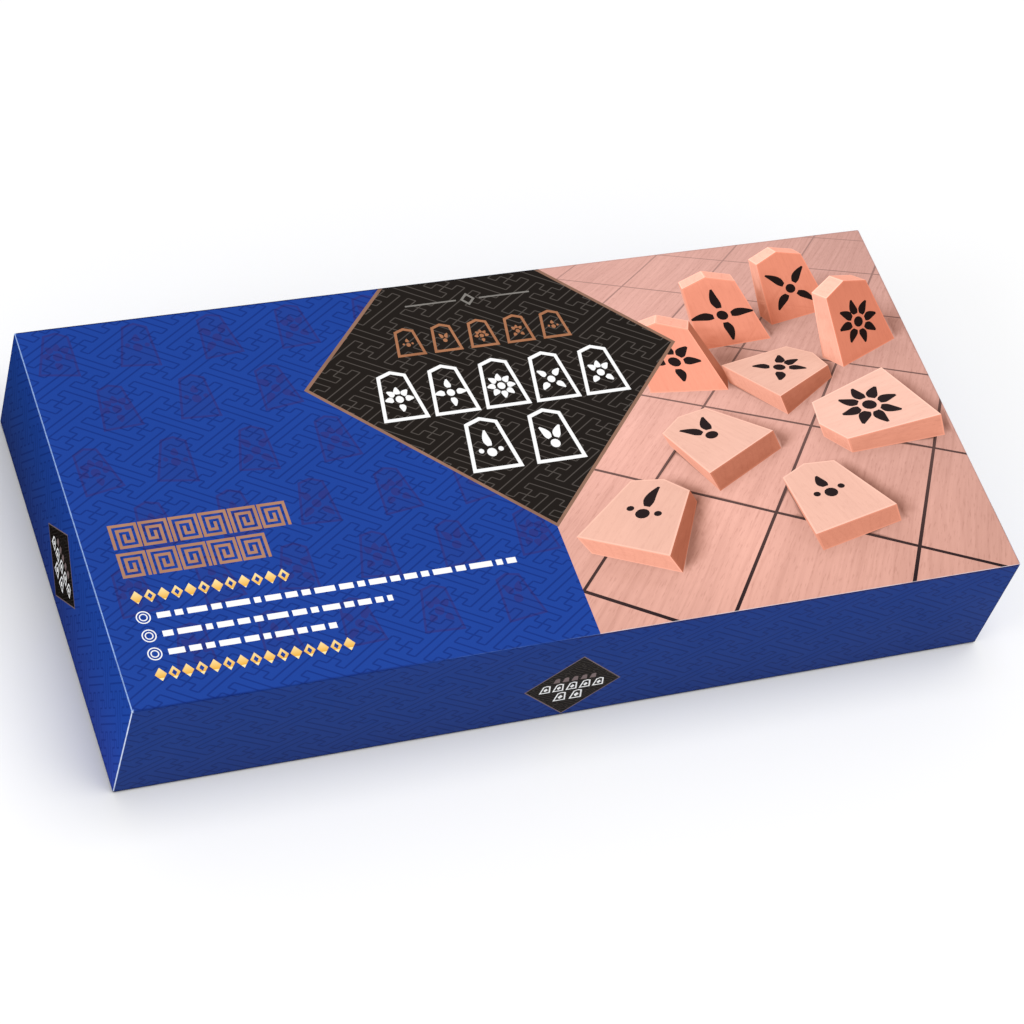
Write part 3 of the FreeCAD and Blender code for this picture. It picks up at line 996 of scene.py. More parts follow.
def wall_painted_shading(t, face, kind):
    """Painted shade on the walls: the print is drawn a little darker there than on the top, most of all low down and
    far along the ends, and lighter towards the front of the ends.

    The blue also turns a little greyer low down, a painted reflection of the floor.
    """
    x, y, z = t.xyz()
    down = t.remap(z, 0.0, TOP * MM, 1.0, 0.0, smooth=False)
    sq = t.mul(down, down)
    if face in ("front", "back"):
        if kind != "blue":
            return (0.88, 0.88, 0.88)
        k = t.remap(z, 0.0, TOP * MM, 0.85, 0.84)
        return t.join(t.mul(k, t.add(1.05, t.mul(sq, 0.50))), k, t.mul(k, t.sub(0.97, t.mul(down, 0.13))))
    f = t.remap(y, HY * MM, -HY * MM, 0.0, 1.0, smooth=False)
    high = t.add(t.mul(f, 0.38), 0.78)
    low = t.add(t.mul(t.mul(f, f), 0.56), 0.62)
    k = t.add(t.mul(high, t.sub(1.0, down)), t.mul(low, down))
    if kind != "blue":
        k = t.mul(k, 0.60 if kind == "dark" else 0.90)
        return t.join(k, k, k)
    return t.join(t.mul(k, t.add(1.0, t.mul(sq, 1.1))), k,
                  t.mul(k, t.sub(1.0, t.mul(t.mul(down, t.sub(1.0, f)), 0.28))))


GLOSS = {"top": 0.03, "front": 0.02, "back": 0.02, "left": 0.0, "right": 0.0}


def printed(name, face, colour_fn, rough=0.36, worn_and_lit_colour=None, long_keep=None, kind="other"):
    t = Tree(name)
    vec = t.coords()
    col = colour_fn(t)
    # faint unevenness of the ink
    mottle = t.noise(vec, 24.0, 3.0, 0.55)
    col = t.mix(1.0, col, t.mix(mottle, (0.93, 0.93, 0.94), (1.07, 1.07, 1.06)), "MULTIPLY")
    wear_and_highlight, long, rim, post = edge_wear_and_highlight(t)
    # pale blue colour of the worn edges and their painted highlight, paler on the upright edges
    if worn_and_lit_colour is None:
        worn_and_lit_colour = t.mix(post, (0.41, 0.60, 1.0), (0.74, 0.82, 1.0))
    # more wear and painted highlight along the long top edges
    if long_keep is not None:
        patch = t.noise(vec, 120.0, 2.0, 0.6)
        more = t.both(t.remap(long, 0.00022, 0.00044, 1.0, 0.0), t.remap(patch, 0.35, 0.6, long_keep * 0.6, long_keep))
        wear_and_highlight = t.most(wear_and_highlight, more)
    # painted shade and light on the walls
    if face != "top" and kind != "white":
        depth = wall_painted_shading(t, face, kind)
        col = t.mix(1.0, col, depth, "MULTIPLY")
    # painted shade along the long top folds, on their left part
    crease_shade = t.both(t.remap(long, 0.0003, 0.0009, 1.0, 0.0), t.remap(t.xyz()[0], -0.085, -0.050, 1.0, 0.0),
                    t.remap(t.noise(vec, 60.0, 3.0, 0.6), 0.30, 0.5, 0.35, 1.0))
    col = t.mix(t.mul(crease_shade, 0.48), col, (0.002, 0.010, 0.14))
    # painted shade: a dark line on the front just under the top fold, below the picture
    if face == "front":
        under = t.both(t.remap(long, 0.0006, 0.0013, 1.0, 0.0), t.remap(t.xyz()[0], -0.020, 0.0, 0.0, 1.0))
        col = t.mix(t.mul(under, 0.55), col, (0.030, 0.014, 0.050))
    away = away_folds(t)
    col = t.mix(t.mul(away, 0.16 if kind == "picture" else 0.58), col, (0.004, 0.004, 0.010))
    # worn edges with their painted highlight
    col = t.mix(wear_and_highlight, col, worn_and_lit_colour)
    # painted shade low along the rim
    dark = t.node("ShaderNodeCombineColor")
    for s in dark.inputs[:3]:
        t.put(s, rim)
    col = t.mix(1.0, col, dark.outputs[0], "MULTIPLY")
    normal = paper_bump(t)
    flap = wall_flap(t, face)
    if flap is not None:
        normal = t.bump(flap, 0.5, 0.00012, normal)
    r = t.remap(t.noise(vec, 70.0, 3.0, 0.6), 0.3, 0.7, rough - 0.04, rough + 0.05)
    r = t.m("MAXIMUM", r, t.mul(wear_and_highlight, 0.6))
    mat = t.finish(col, r, normal)
    t.bsdf.inputs["Specular IOR Level"].default_value = GLOSS[face]
    return mat


BLUE = srgb(31, 67, 154)
BLUE_LINE = srgb(23, 52, 131)
GHOST = srgb(44, 56, 132)
GHOST_LINE = srgb(34, 44, 114)
HAZE = srgb(34, 64, 147)
HAZE_LINE = srgb(26, 50, 126)
DARK = srgb(33, 28, 25)
DARK_LINE = srgb(80, 74, 70)


def blue_print(name, face, a=BLUE, b=BLUE_LINE):
    def fn(t):
        u, v = sheet_place(t, face)
        line = fret_lines(t, u, v, FRET_STEP, 0.62, 0.36)
        if face in ("left", "right"):
            line = t.mul(line, 0.9)
        return t.mix(line, a, b)
    return printed(name, face, fn, kind="blue")


def dark_print(name, face, scale=1.0):
    def fn(t):
        u, v = sheet_place(t, face)
        line = fret_lines(t, u, v, FRET_STEP * scale, 0.42 * scale, 0.16, FRET_C_DARK)
        return t.mix(line, DARK, DARK_LINE)
    return printed(name, face, fn, rough=0.40, kind="dark")


def ink(name, face, low, high, span=None, rough=0.36, kind="other"):
    """Metallic-looking print ink with a slow change of tone."""
    def fn(t):
        vec = t.coords()
        g = t.noise(vec, 130.0, 2.0, 0.5)
        if span:
            u, v = sheet_place(t, face)
            g = t.m("FRACT", t.mul(t.add(v, 1.0), 1 / (span * MM)))
        return t.mix(g, low, high)
    return printed(name, face, fn, rough, kind=kind)


def picture_print(name, face):
    def fn(t):
        tint = t.attr("tint")
        g = t.attr("grain", vector=True)
        gx, gy, gz = t.xyz(g)
        warp = t.noise(t.join(t.mul(gx, 0.8), t.mul(gy, 0.25), gz), 1.2, 2.0, 0.5)
        across = t.add(t.mul(gx, 5.2), t.mul(warp, 2.6))
        rings = t.noise(t.join(across, t.mul(gy, 0.22), t.mul(gz, 5.0)), 1.0, 3.0, 0.62)
        streak = t.noise(t.join(t.mul(gx, 26.0), t.mul(gy, 0.9), t.mul(gz, 26.0)), 1.0, 3.0, 0.65)
        fleck = t.noise(t.join(t.mul(gx, 60.0), t.mul(gy, 8.0), t.mul(gz, 60.0)), 1.0, 2.0, 0.6)
        lines = t.wave(t.join(across, t.mul(gy, 0.1), t.mul(gz, 5.0)), 0.62, 2.2, 3.0, 1.4, "X")
        k = t.add(t.mul(t.sub(rings, 0.5), 0.50), t.mul(t.sub(streak, 0.5), 0.55))
        k = t.sub(k, t.mul(t.remap(lines, 0.80, 1.0, 0.0, 1.0), 0.10))
        k = t.sub(k, t.mul(t.remap(fleck, 0.55, 0.68, 0.0, 1.0), 0.24))
        shadev = t.mix(t.m("ADD", k, 0.52, clamp=True), (0.72, 0.66, 0.64), (1.20, 1.24, 1.24))
        return t.mix(t.attr("tint", alpha=True), tint, t.mix(1.0, tint, shadev, "MULTIPLY"))
    # its edges worn pink-white with painted highlight, most along the long top edges
    return printed(name, face, fn, worn_and_lit_colour=(0.90, 0.80, 0.86), long_keep=0.95, kind="picture")


def panel_materials(face):
    mats = {
        "blue": blue_print("print_blue_" + face, face),
        "ghost": blue_print("print_blue_tile_" + face, face, GHOST, GHOST_LINE),
        "haze": blue_print("print_blue_haze_" + face, face, HAZE, HAZE_LINE),
        "dark": dark_print("print_dark_" + face, face, 1.0 if face == "top" else 0.42),
        "copper": ink("print_copper_" + face, face, srgb(158, 114, 90), srgb(186, 140, 112)),
        "bronze": ink("print_bronze_" + face, face, srgb(152, 100, 70), srgb(180, 124, 90)),
        "frame": ink("print_frame_" + face, face, srgb(134, 100, 83), srgb(158, 121, 102)),
        "gold": ink("print_gold_" + face, face, srgb(238, 176, 60), srgb(255, 236, 176), 5.6),
        "grey": ink("print_grey_" + face, face, srgb(120, 116, 112), srgb(140, 136, 130)),
        "rule": ink("print_rule_" + face, face, srgb(122, 106, 108), srgb(144, 126, 124)),
        "white": ink("print_white_" + face, face, srgb(246, 246, 246), srgb(254, 254, 253), kind="white"),
    }
    if face == "top":
        mats["picture"] = picture_print("print_picture", face)
    return mats


panels = []
mats = panel_materials("top")
panels.append(build_panel("lid_print_top", "top", top_layout(), mats, 9.0, life,
                          (0.5, 2.1)))
for face, cx, cz in (("front", -2.4, 22.0), ("back", -2.4, 22.0), ("left", 0.6, 25.0), ("right", 0.6, 25.0)):
    hu = HX if face in ("front", "back") else HY
    shapes = [(rect(-hu - 1, RIM - 1, hu + 1, TOP + 1), "blue")]
    small_badge(shapes, cx, cz, 20.3)
    panels.append(build_panel("lid_print_" + face, face, shapes, panel_materials(face), 9.0))


# the paper's edge turned under the rim and up inside the lid
def rim_turn():
    prof = []
    for i in range(4):                               # lower half of the rim's outer fold
        a = math.radians(45 + 15 * i)
        prof.append((EDGE - EDGE * math.cos(a), RIM + EDGE - EDGE * math.sin(a)))
    prof += [(1.10, RIM), (1.40, RIM + 0.07), (1.55, RIM + 0.22), (1.60, RIM + 0.5), (1.60, RIM + 15.0),
             (1.43, RIM + 15.0), (1.43, RIM + 0.5), (1.30, RIM + 0.25), (1.10, RIM + 0.17)]
    for i in range(3, -1, -1):
        a = math.radians(45 + 15 * i)
        r = EDGE - PAPER
        prof.append((EDGE - r * math.cos(a), RIM + EDGE - r * math.sin(a)))
    verts, faces = [], []
    n = len(prof)
    corners = [(-1, -1), (1, -1), (1, 1), (-1, 1)]
    for sx, sy in corners:
        for d, z in prof:
            verts.append((sx * (HX - d), sy * (HY - d), z))
    # how far along the paper each point of the profile lies, beyond the rim
    far = [min(13, i) for i in range(n)]
    far = [TOP - RIM + (0.4 * f if f < 8 else 2.6 + prof[8][1] - RIM - 0.5) for f in far]
    far[8], far[9], far[10] = TOP - RIM + 17.6, TOP - RIM + 17.6, TOP - RIM + 3.0
    far[11:] = [TOP - RIM + 2.4] * (n - 11)
    place = []
    for k in range(4):
        for i in range(n):
            a, b = k * n + i, k * n + (i + 1) % n
            c, d = ((k + 1) % 4) * n + (i + 1) % n, ((k + 1) % 4) * n + i
            faces.append((a, b, c, d))
            for vid in (a, b, c, d):
                x, y, _ = verts[vid]
                out = far[vid % n]
                place.append([(x, -HY - out, 0), (HX + out, y, 0), (x, HY + out, 0), (-HX - out, y, 0)][k])

    def fn(t):
        u, v, _ = t.xyz(t.attr("sheet", vector=True))
        return t.mix(fret_lines(t, u, v, FRET_STEP, 0.62, 0.36), BLUE, BLUE_LINE)

    t_mat = printed("print_blue_turned_in", "top", fn)
    ob = new_object("lid_print_turned_in", np.array(verts) * MM, faces, [t_mat])
    sheet = ob.data.attributes.new("sheet", "FLOAT_VECTOR", "CORNER")
    sheet.data.foreach_set("vector", (np.array(place) * MM).ravel())
    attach(ob, "lid")
    return ob


panels.append(rim_turn())
for p in panels:
    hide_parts("lid_printed_wrap")


# --------------------------------------------------------- CAD materials
def assign(mat, *names):
    for n in names:
        o = nodes[n]
        o.data.materials.clear()
        o.data.materials.append(mat)


def board_stock(name, light, dark, fibre=0.5, rough=0.85, speck=0.0):
    """Paperboard: pressed fibres, slightly mottled."""
    t = Tree(name)
    vec = t.coords()
    cloud = t.noise(vec, 60.0, 4.0, 0.6)
    hair = t.noise(t.v("MULTIPLY", t.v("ADD", vec, t.v("SCALE", t.noise(vec, 220.0, 2.0, 0.5, colour=True), scale=0.004)),
                       (900.0, 2200.0, 1500.0)), 1.0, 3.0, 0.7)
    k = t.m("ADD", t.mul(cloud, 1.0 - fibre), t.mul(hair, fibre), clamp=True)
    col = t.mix(t.remap(k, 0.3, 0.7), dark, light)
    if speck:
        s = t.remap(t.noise(vec, 1500.0, 1.0, 0.5), 0.70, 0.76)
        col = t.mix(t.mul(s, speck), col, (0.12, 0.11, 0.10))
    nrm = t.bump(hair, 0.18, 0.00006, t.bump(t.noise(vec, 22.0, 2.0, 0.5), 0.25, 0.0006))
    m = t.finish(col, t.remap(cloud, 0.3, 0.7, rough - 0.06, rough + 0.06), nrm)
    t.bsdf.inputs["Specular IOR Level"].default_value = 0.3
    return m


grey_board = board_stock("grey_board", srgb(196, 192, 184), srgb(160, 156, 148), 0.55, 0.88, 0.5)
tray_paper = board_stock("tray_paper", srgb(242, 241, 237), srgb(234, 232, 227), 0.45, 0.62)
insert_board = board_stock("insert_board", srgb(234, 230, 221), srgb(216, 211, 200), 0.45, 0.75, 0.12)
kraft = board_stock("piece_tray_board", srgb(190, 152, 108), srgb(158, 120, 80), 0.6, 0.82, 0.25)
assign(grey_board, "lid_shell", "base_tray")
assign(tray_paper, "base_tray_wrap")
assign(insert_board, "insert_platform")
assign(kraft, "piece_tray", "piece_tray_dividers")


# the game pieces as they lie in their tray: width, height and thickness of
# each kind, the kinds in each row from front to back, and each row's depth
KOMA = {"kings": (28.7, 32.0, 9.6), "rooks": (27.8, 31.0, 9.2), "bishops": (27.8, 31.0, 9.2),
        "gold_generals": (26.8, 30.0, 8.8), "silver_generals": (26.8, 30.0, 8.8),
        "knights": (25.5, 28.5, 8.3), "lances": (23.5, 28.5, 8.0), "pawns": (22.5, 27.0, 7.7)}
ROWS = (("D", ["pawns"] * 4 + ["spare"]),
        ("C", ["lances"] + ["pawns"] * 5),
        ("B", ["silver_generals", "silver_generals", "knights", "knights", "lances"]),
        ("A", ["kings", "rooks", "bishops", "gold_generals", "gold_generals"]))
DEPTH = {"A": 33.2, "B": 31.2, "C": 29.6, "D": 28.0}


def tray_place(t):
    """A number from 0 to 1 that differs from one place in the tray of pieces to the next."""
    x, y, _ = t.xyz()
    lo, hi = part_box("piece_tray")
    yb = lo.y / MM + 1.2 + 0.6
    number, seed = 0.0, 1
    for row, kinds in ROWS:
        edge, stops = lo.x / MM + 1.2 + 0.8, []
        for k in kinds:
            tone = (seed * 0.618034) % 1.0
            stops.append(((edge * MM - lo.x) / (hi.x - lo.x) if stops else 0.0, (tone,) * 3))
            edge += KOMA["pawns" if k == "spare" else k][0] + 1.6
            seed += 1
        sep = t.node("ShaderNodeSeparateColor")
        t.put(sep.inputs[0], t.ramp(t.remap(x, lo.x, hi.x, 0.0, 1.0, smooth=False), stops, "CONSTANT"))
        behind = t.m("GREATER_THAN", y, yb * MM)
        number = t.add(t.mul(number, t.sub(1.0, behind)), t.mul(sep.outputs[0], behind))
        yb += DEPTH[row] + (0.5 if row != "A" else 0)
    return number


def wood(name, light, dark, grain_dir, ring=3.0, contrast=0.5, rough=0.45, coat=0.0, tilt=0.35,
         pore=0.25, spread=0.12, drift=5.0, number=None, seam=None):
    """Straight-grained wood, grain along one axis.

    ring is the distance between growth rings and drift how far they wander, in millimetres.
    number gives each solid its own place in the log. seam is where, along y, the eased edge of a
    leaf is drawn darker.
    """
    t = Tree(name)
    r = number(t) if number else 0.5
    vec = t.v("ADD", t.coords(), t.v("SCALE", (1.3, 0.7, 0.9), scale=t.mul(r, 3.0)))
    x, y, z = t.xyz(vec)
    along, across, deep = {"X": (x, y, z), "Y": (y, x, z), "Z": (z, x, y)}[grain_dir]
    slow = t.noise(t.join(t.mul(along, 3.0), t.mul(across, 14.0), t.mul(deep, 14.0)), 1.0, 2.0, 0.5)
    bands = t.noise(t.join(t.mul(along, 0.8), t.mul(across, 75.0), t.mul(deep, 30.0)), 1.0, 3.0, 0.6)
    wavy = t.noise(t.join(t.mul(along, 45.0), t.mul(across, 120.0), t.mul(deep, 60.0)), 1.0, 2.0, 0.5)
    place = t.mul(t.add(across, t.mul(deep, tilt)), 1000.0 / ring)
    place = t.add(place, t.mul(slow, 2 * drift / ring))
    place = t.add(place, t.add(t.mul(bands, 3.2), t.mul(wavy, 0.22)))
    ringf = t.m("FRACT", t.add(place, 500.0))
    late = t.ramp(ringf, [(0.0, (0.10,) * 3), (0.50, (0.30,) * 3), (0.86, (1.0,) * 3), (0.96, (0.35,) * 3), (1.0, (0.10,) * 3)])
    sep = t.node("ShaderNodeSeparateColor")
    t.put(sep.inputs[0], late)
    fine = t.noise(t.join(t.mul(along, 60.0), t.mul(across, 1500.0), t.mul(deep, 900.0)), 1.0, 3.0, 0.65)
    cells = t.noise(t.join(t.mul(along, 180.0), t.mul(across, 2600.0), t.mul(deep, 2600.0)), 1.0, 1.0, 0.5)
    pores = t.remap(cells, 0.62, 0.74, 0.0, pore)
    k = t.add(t.mul(sep.outputs[0], contrast), t.mul(t.sub(fine, 0.5), 0.5))
    k = t.m("ADD", k, t.add(pores, t.mul(t.sub(bands, 0.5), 0.35)), clamp=True)
    col = t.mix(k, light, dark)
    tone = t.mix(r, (1 - spread,) * 3, (1 + spread * 0.5, 1 + spread * 0.4, 1 + spread * 0.2))
    col = t.mix(1.0, col, tone, "MULTIPLY")
    if seam is not None:
        near = t.remap(t.m("ABSOLUTE", t.sub(t.xyz()[1], seam)), 0.0002, 0.0006, 0.75, 0.0)
        col = t.mix(near, col, srgb(84, 56, 32))
    nrm = t.bump(t.add(t.mul(fine, 0.6), t.mul(sep.outputs[0], 0.4)), 0.16, 0.00008)
    m = t.finish(col, t.remap(fine, 0.3, 0.7, rough - 0.05, rough + 0.08), nrm)
    if coat:
        t.bsdf.inputs["Coat Weight"].default_value = coat
        t.bsdf.inputs["Coat Roughness"].default_value = 0.18
    return m


piece_wood = wood("piece_wood", srgb(236, 198, 148), srgb(204, 154, 100), "Y", 1.7, 0.42, 0.42,
                  0.0, 0.25, 0.20, 0.10, 1.5, tray_place)
stand_wood = wood("stand_wood", srgb(220, 176, 126), srgb(172, 122, 76), "Y", 2.6, 0.5, 0.40,
                  0.25, 0.5, 0.22, 0.05, 3.0)
board_wood = wood("board_wood", srgb(230, 189, 132), srgb(190, 140, 86), "X", 3.0, 0.5, 0.38,
                  0.30, 0.5, 0.22, 0.04, 4.0, seam=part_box("board_leaf_upper")[1].y)
assign(piece_wood, "kings", "rooks", "bishops", "gold_generals", "silver_generals", "knights",
       "lances", "pawns", "spare_pawns")
assign(stand_wood, "stand_left_plate", "stand_left_feet", "stand_right_plate", "stand_right_feet")
assign(board_wood, "board_leaf_upper", "board_leaf_lower")


# ------------------------------------------------ ruled lines of the board
def lattice(name, bars, z0, z1, mat, dots=()):
    """One closed plate of crossing bars, x0, y0, x1, y1 in mm, and round dots at crossings."""
    xs = sorted({round(v, 4) for b in bars for v in (b[0], b[2])})
    ys = sorted({round(v, 4) for b in bars for v in (b[1], b[3])})
    fill = np.zeros((len(xs) - 1, len(ys) - 1), bool)
    for i in range(len(xs) - 1):
        for j in range(len(ys) - 1):
            cx, cy = (xs[i] + xs[i + 1]) / 2, (ys[j] + ys[j + 1]) / 2
            fill[i, j] = any(b[0] < cx < b[2] and b[1] < cy < b[3] for b in bars)
    verts, index, faces = [], {}, []

    def vid(i, j, k):
        if (i, j, k) not in index:
            index[(i, j, k)] = len(verts)
            verts.append((xs[i], ys[j], (z0, z1)[k]))
        return index[(i, j, k)]

    def full(i, j):
        return 0 <= i < fill.shape[0] and 0 <= j < fill.shape[1] and fill[i, j]

    for i in range(fill.shape[0]):
        for j in range(fill.shape[1]):
            if not fill[i, j]:
                continue
            faces.append((vid(i, j, 1), vid(i + 1, j, 1), vid(i + 1, j + 1, 1), vid(i, j + 1, 1)))
            faces.append((vid(i, j, 0), vid(i, j + 1, 0), vid(i + 1, j + 1, 0), vid(i + 1, j, 0)))
            if not full(i, j - 1):
                faces.append((vid(i, j, 0), vid(i + 1, j, 0), vid(i + 1, j, 1), vid(i, j, 1)))
            if not full(i, j + 1):
                faces.append((vid(i + 1, j + 1, 0), vid(i, j + 1, 0), vid(i, j + 1, 1), vid(i + 1, j + 1, 1)))
            if not full(i - 1, j):
                faces.append((vid(i, j + 1, 0), vid(i, j, 0), vid(i, j, 1), vid(i, j + 1, 1)))
            if not full(i + 1, j):
                faces.append((vid(i + 1, j, 0), vid(i + 1, j + 1, 0), vid(i + 1, j + 1, 1), vid(i + 1, j, 1)))
    for cx, cy, r in dots:
        n, base = 28, len(verts)
        for k in (0, 1):
            verts.extend((cx + r * math.cos(2 * math.pi * i / n), cy + r * math.sin(2 * math.pi * i / n),
                          (z0, z1 + (0.01 if z1 > 40 else 0.0))[k]) for i in range(n))
        faces.append(tuple(base + n + i for i in range(n)))
        faces.append(tuple(base + i for i in range(n))[::-1])
        faces.extend((base + i, base + (i + 1) % n, base + n + (i + 1) % n, base + n + i) for i in range(n))
    return new_object(name, np.array(verts) * MM, faces, [mat])


def lacquer_line():
    t = Tree("board_line")
    vec = t.coords()
    n = t.noise(vec, 600.0, 3.0, 0.6)
    col = t.mix(n, srgb(30, 20, 16), srgb(62, 44, 34))
    return t.finish(col, t.remap(n, 0.3, 0.7, 0.34, 0.5), t.bump(n, 0.2, 0.00003))


line_mat = lacquer_line()
leaf_lo, leaf_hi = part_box("board_leaf_upper")
SEAM, UP_Z = leaf_hi.y / MM, leaf_hi.z / MM
LOW_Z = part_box("board_leaf_lower")[0].z / MM
LW = 0.45                                    # half width of a ruled line
bars = []
for i in range(10):
    x = -157.5 + 35.0 * i
    bars.append((x - LW, SEAM - 144 - LW, x + LW, SEAM - 0.05))
for d in (16, 48, 80, 112, 144):
    bars.append((-157.5 - LW, SEAM - d - LW, 157.5 + LW, SEAM - d + LW))
stars = [(-52.5, SEAM - 48, 1.7), (52.5, SEAM - 48, 1.7)]
upper_lines = lattice("board_lines_upper", bars, UP_Z, UP_Z + 0.05, line_mat, stars)
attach(upper_lines, "board_upper")
lower_lines = lattice("board_lines_lower", bars, LOW_Z - 0.05, LOW_Z, line_mat, stars)
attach(lower_lines, "board_lower")


# ------------------------------------------------------ folded cloth hinge
def cloth_mat():
    t = Tree("hinge_cloth")
    vec = t.coords()
    a = t.wave(vec, 420.0, 0.6, 1.0, 1.0, "X")
    b = t.wave(vec, 420.0, 0.6, 1.0, 1.0, "Y")
    weave = t.m("MAXIMUM", a, b)
    col = t.mix(t.m("MULTIPLY", weave, t.remap(t.noise(vec, 90.0, 3.0, 0.6), 0.3, 0.7, 0.6, 1.0)),
                srgb(58, 40, 28), srgb(120, 88, 60))
    m = t.finish(col, 0.9, t.bump(weave, 0.6, 0.00012))
    t.bsdf.inputs["Sheen Weight"].default_value = 0.3
    return m


def cloth_hinge():
    lo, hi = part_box("board_cloth_hinge")
    x0, x1, y0, z0, z1 = lo.x / MM, hi.x / MM, lo.y / MM, lo.z / MM, hi.z / MM
    zc, half = (z0 + z1) / 2, (z1 - z0) / 2
    th = half * 0.62                       # cloth thickness
    yc = hi.y / MM - half - 0.01
    path = [(y0, zc + half - th / 2)]
    for i in range(1, 7):
        path.append((y0 + (yc - y0) * i / 6, zc + half - th / 2))
    r = half - th / 2
    for i in range(1, 10):
        a = math.pi * i / 10
        path.append((yc + r * math.sin(a), zc + r * math.cos(a)))
    for i in range(0, 7):
        path.append((yc - (yc - y0) * i / 6, zc - half + th / 2))
    path = np.array(path)
    tan = np.gradient(path, axis=0)
    tan /= np.linalg.norm(tan, axis=1)[:, None]
    nrm = np.stack([-tan[:, 1], tan[:, 0]], 1)
    outer, inner = path + nrm * th / 2, path - nrm * th / 2
    loop = np.concatenate([outer, inner[::-1]])
    cols = 35
    verts, faces = [], []
    n = len(loop)
    for i in range(cols):
        x = x0 + (x1 - x0) * i / (cols - 1)
        verts.extend((x, y, z) for y, z in loop)
    m = len(path)
    for i in range(cols - 1):
        for k in range(n):
            a, b = i * n + k, i * n + (k + 1) % n
            faces.append((a, a + n, b + n, b))
    for i, rev in ((0, False), (cols - 1, True)):
        for k in range(m - 1):
            q = (i * n + k, i * n + k + 1, i * n + n - 2 - k, i * n + n - 1 - k)
            faces.append(q[::-1] if rev else q)
    ob = new_object("board_hinge_cloth_strip", np.array(verts) * MM, faces, [cloth_mat()])
    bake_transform(ob)
    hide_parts("board_cloth_hinge")
    return ob


cloth_hinge()


# ------------------------------------------------- rank marks on the pieces
RANKS = {"kings": "王将", "rooks": "飛車", "bishops": "角行", "gold_generals": "金将",
         "silver_generals": "銀将", "knights": "桂馬", "lances": "香車", "pawns": "歩兵"}

def glyph(ch, cache={}):
    """Outline mesh of one printed rank mark: points and faces, about 1 wide."""
    if ch not in cache:
        c = bpy.data.curves.new("rank", "FONT")
        c.body = ch
        c.size = 1.0
        c.resolution_u = 3
        o = bpy.data.objects.new("rank", c)
        scene.collection.objects.link(o)
        dg = bpy.context.evaluated_depsgraph_get()
        me = bpy.data.meshes.new_from_object(o.evaluated_get(dg))
        v = np.array([tuple(p.co)[:2] for p in me.vertices])
        f = [tuple(p.vertices) for p in me.polygons]
        bpy.data.objects.remove(o)
        bpy.data.curves.remove(c)
        bpy.data.meshes.remove(me)
        mid = (v.min(0) + v.max(0)) / 2
        cache[ch] = (v - mid, f, np.ptp(v, axis=0))
    return cache[ch]


def rank_marks():
    t = Tree("rank_ink")
    n = t.noise(t.coords(), 900.0, 3.0, 0.6)
    ink_mat = t.finish(t.mix(n, srgb(18, 15, 14), srgb(46, 40, 36)),
                       t.remap(n, 0.3, 0.7, 0.30, 0.48), t.bump(n, 0.25, 0.00003))
    tray_lo, tray_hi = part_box("piece_tray")
    y = tray_lo.y / MM + 1.2 + 0.6
    out = {}
    for row, kinds in ROWS:
        x = tray_lo.x / MM + 1.2 + 1.6
        for i, k in enumerate(kinds):
            node = "spare_pawns" if k == "spare" else k
            w, h, th = KOMA["pawns" if k == "spare" else k]
            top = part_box(node)[1].z / MM
            xc = x + w / 2
            y0 = y + (DEPTH[row] - h) / 2 - 0.4
            word = RANKS["pawns" if k == "spare" else k]
            if node == "kings":
                word = "玉将" if len(out.get(node, ())) else word
            # the piece's point is towards -y, so the mark is turned half round
            parts = out.setdefault(node, [])
            size = w * 0.34
            for j, ch in enumerate(word):
                v, f, span = glyph(ch)
                s = size / max(span.max(), 1e-6)
                cy = y0 + h * (0.40, 0.76)[j]
                pts = -v * s + np.array([xc, cy])
                parts.append((pts, f, top))
            x += w + 1.6
        y += DEPTH[row] + (0.5 if row != "A" else 0)
    for node, parts in out.items():
        verts, faces = [], []
        for pts, f, top in parts:
            n0, m = len(verts), len(pts)
            for z in (top, top + 0.03):
                verts.extend((p[0], p[1], z) for p in pts)
            used = {}
            for tri in f:
                faces.append(tuple(n0 + m + a for a in tri))
                faces.append(tuple(n0 + a for a in tri)[::-1])
                for a, b in zip(tri, tri[1:] + tri[:1]):
                    used[(a, b)] = True
            for a, b in used:
                if (b, a) not in used:
                    faces.append((n0 + a, n0 + b, n0 + m + b, n0 + m + a))
        ob = new_object("rank_marks_" + node, np.array(verts) * MM, faces, [ink_mat])
        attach(ob, "piece_tray")


rank_marks()


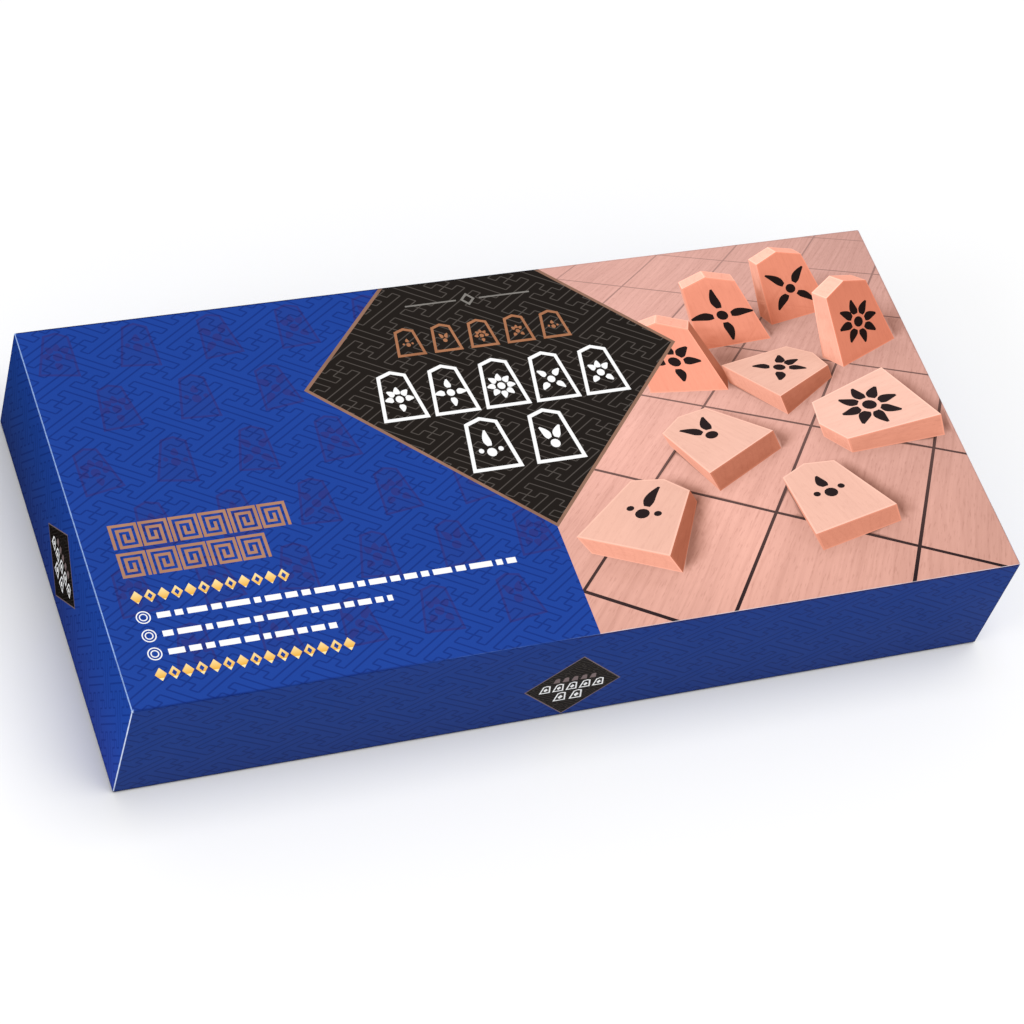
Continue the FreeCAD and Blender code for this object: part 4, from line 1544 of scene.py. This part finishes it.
# ------------------------------------------------------------------ booklet
def booklet_cover():
    t = Tree("booklet_cover_paper")
    x, y, z = t.xyz()
    vec = t.coords()
    lo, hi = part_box("booklet_cover")
    line = fret_lines(t, x, y, 2.4, 0.36, 0.16)
    band = t.mix(line, srgb(30, 62, 142), srgb(74, 104, 176))
    cream = t.mix(t.noise(vec, 45.0, 4.0, 0.6), srgb(238, 232, 214), srgb(246, 241, 228))
    in_band = t.remap(x, (lo.x + 0.0440), (lo.x + 0.0444), 1.0, 0.0)
    col = t.mix(in_band, cream, band)
    stripe = t.both(t.m("GREATER_THAN", x, lo.x + 0.0455), t.m("LESS_THAN", x, lo.x + 0.0467))
    col = t.mix(stripe, col, srgb(198, 128, 86))
    # a plain lozenge with a smaller one in it
    cx, cy = (lo.x + hi.x) / 2 + 0.022, (lo.y + hi.y) / 2
    d = t.add(t.m("ABSOLUTE", t.sub(x, cx)), t.m("ABSOLUTE", t.sub(y, cy)))
    ring = t.both(t.m("GREATER_THAN", d, 0.0330), t.m("LESS_THAN", d, 0.0345))
    core = t.m("LESS_THAN", d, 0.0300)
    front = t.m("GREATER_THAN", z, (lo.z + hi.z) / 2)
    ring, core = t.mul(ring, front), t.mul(core, front)
    col = t.mix(ring, col, srgb(198, 128, 86))
    inner = t.mix(fret_lines(t, x, y, 2.0, 0.30, 0.14), srgb(34, 30, 28), srgb(92, 86, 80))
    col = t.mix(core, col, inner)
    nrm = t.bump(t.noise(vec, 700.0, 3.0, 0.6), 0.12, 0.00005, t.bump(t.noise(vec, 14.0, 2.0, 0.5), 0.3, 0.0008))
    m = t.finish(col, t.remap(t.noise(vec, 60.0, 3.0, 0.6), 0.3, 0.7, 0.36, 0.46), nrm)
    t.bsdf.inputs["Specular IOR Level"].default_value = 0.35
    return m


def page_block():
    t = Tree("booklet_page_paper")
    x, y, z = t.xyz()
    vec = t.coords()
    leaf = t.m("FRACT", t.mul(z, 1 / 0.0001))
    # painted shade in the thin gaps between the leaves
    edge = t.remap(t.m("ABSOLUTE", t.sub(leaf, 0.5)), 0.3, 0.5, 1.0, 0.72)
    col = t.mix(t.noise(vec, 80.0, 3.0, 0.6), srgb(240, 236, 226), srgb(250, 247, 240))
    grey = t.node("ShaderNodeCombineColor")
    for s in grey.inputs[:3]:
        t.put(s, edge)
    col = t.mix(1.0, col, grey.outputs[0], "MULTIPLY")
    return t.finish(col, 0.8, t.bump(edge, 0.4, 0.00005))


def wire():
    t = Tree("staple_wire")
    vec = t.coords()
    n = t.noise(vec, 1400.0, 2.0, 0.6)
    return t.finish(t.mix(n, srgb(150, 152, 156), srgb(196, 198, 202)),
                    t.remap(n, 0.3, 0.7, 0.22, 0.4), t.bump(n, 0.2, 0.00002), Metallic=1.0)


assign(booklet_cover(), "booklet_cover")
assign(page_block(), "booklet_pages")
assign(wire(), "booklet_staples")


# ---------------------------------------------------------- floor and light
def floor():
    t = Tree("floor")
    n = t.noise(t.coords(), 2.0, 2.0, 0.5)
    m = t.finish(t.mix(n, (0.972, 0.972, 0.972), (0.988, 0.988, 0.988)), 0.9)
    t.bsdf.inputs["Specular IOR Level"].default_value = 0.1
    ob = new_object("floor", [(-4, -4, 0), (4, -4, 0), (4, 4, 0), (-4, 4, 0)], [(0, 1, 2, 3)], [m])


floor()
world = bpy.data.worlds.new("studio")
scene.world = world
world.use_nodes = True
bg = world.node_tree.nodes["Background"]
bg.inputs[0].default_value = (1.0, 1.0, 1.0, 1.0)
bg.inputs[1].default_value = 0.47


def area_light(name, place, aim, size, power, colour=(1, 1, 1)):
    d = bpy.data.lights.new(name, "AREA")
    d.shape = "RECTANGLE"
    d.size, d.size_y = size
    d.energy = power
    d.color = colour
    o = bpy.data.objects.new(name, d)
    scene.collection.objects.link(o)
    o.location = place
    o.rotation_euler = (Vector(aim) - Vector(place)).to_track_quat("-Z", "Y").to_euler()
    return o


area_light("soft_key", (0.5, -0.1, 2.6), (0, 0, 0), (2.2, 2.2), 45.0)
area_light("soft_fill", (-1.5, -0.35, 0.8), (0, 0, 0.03), (0.8, 0.8), 5.5)
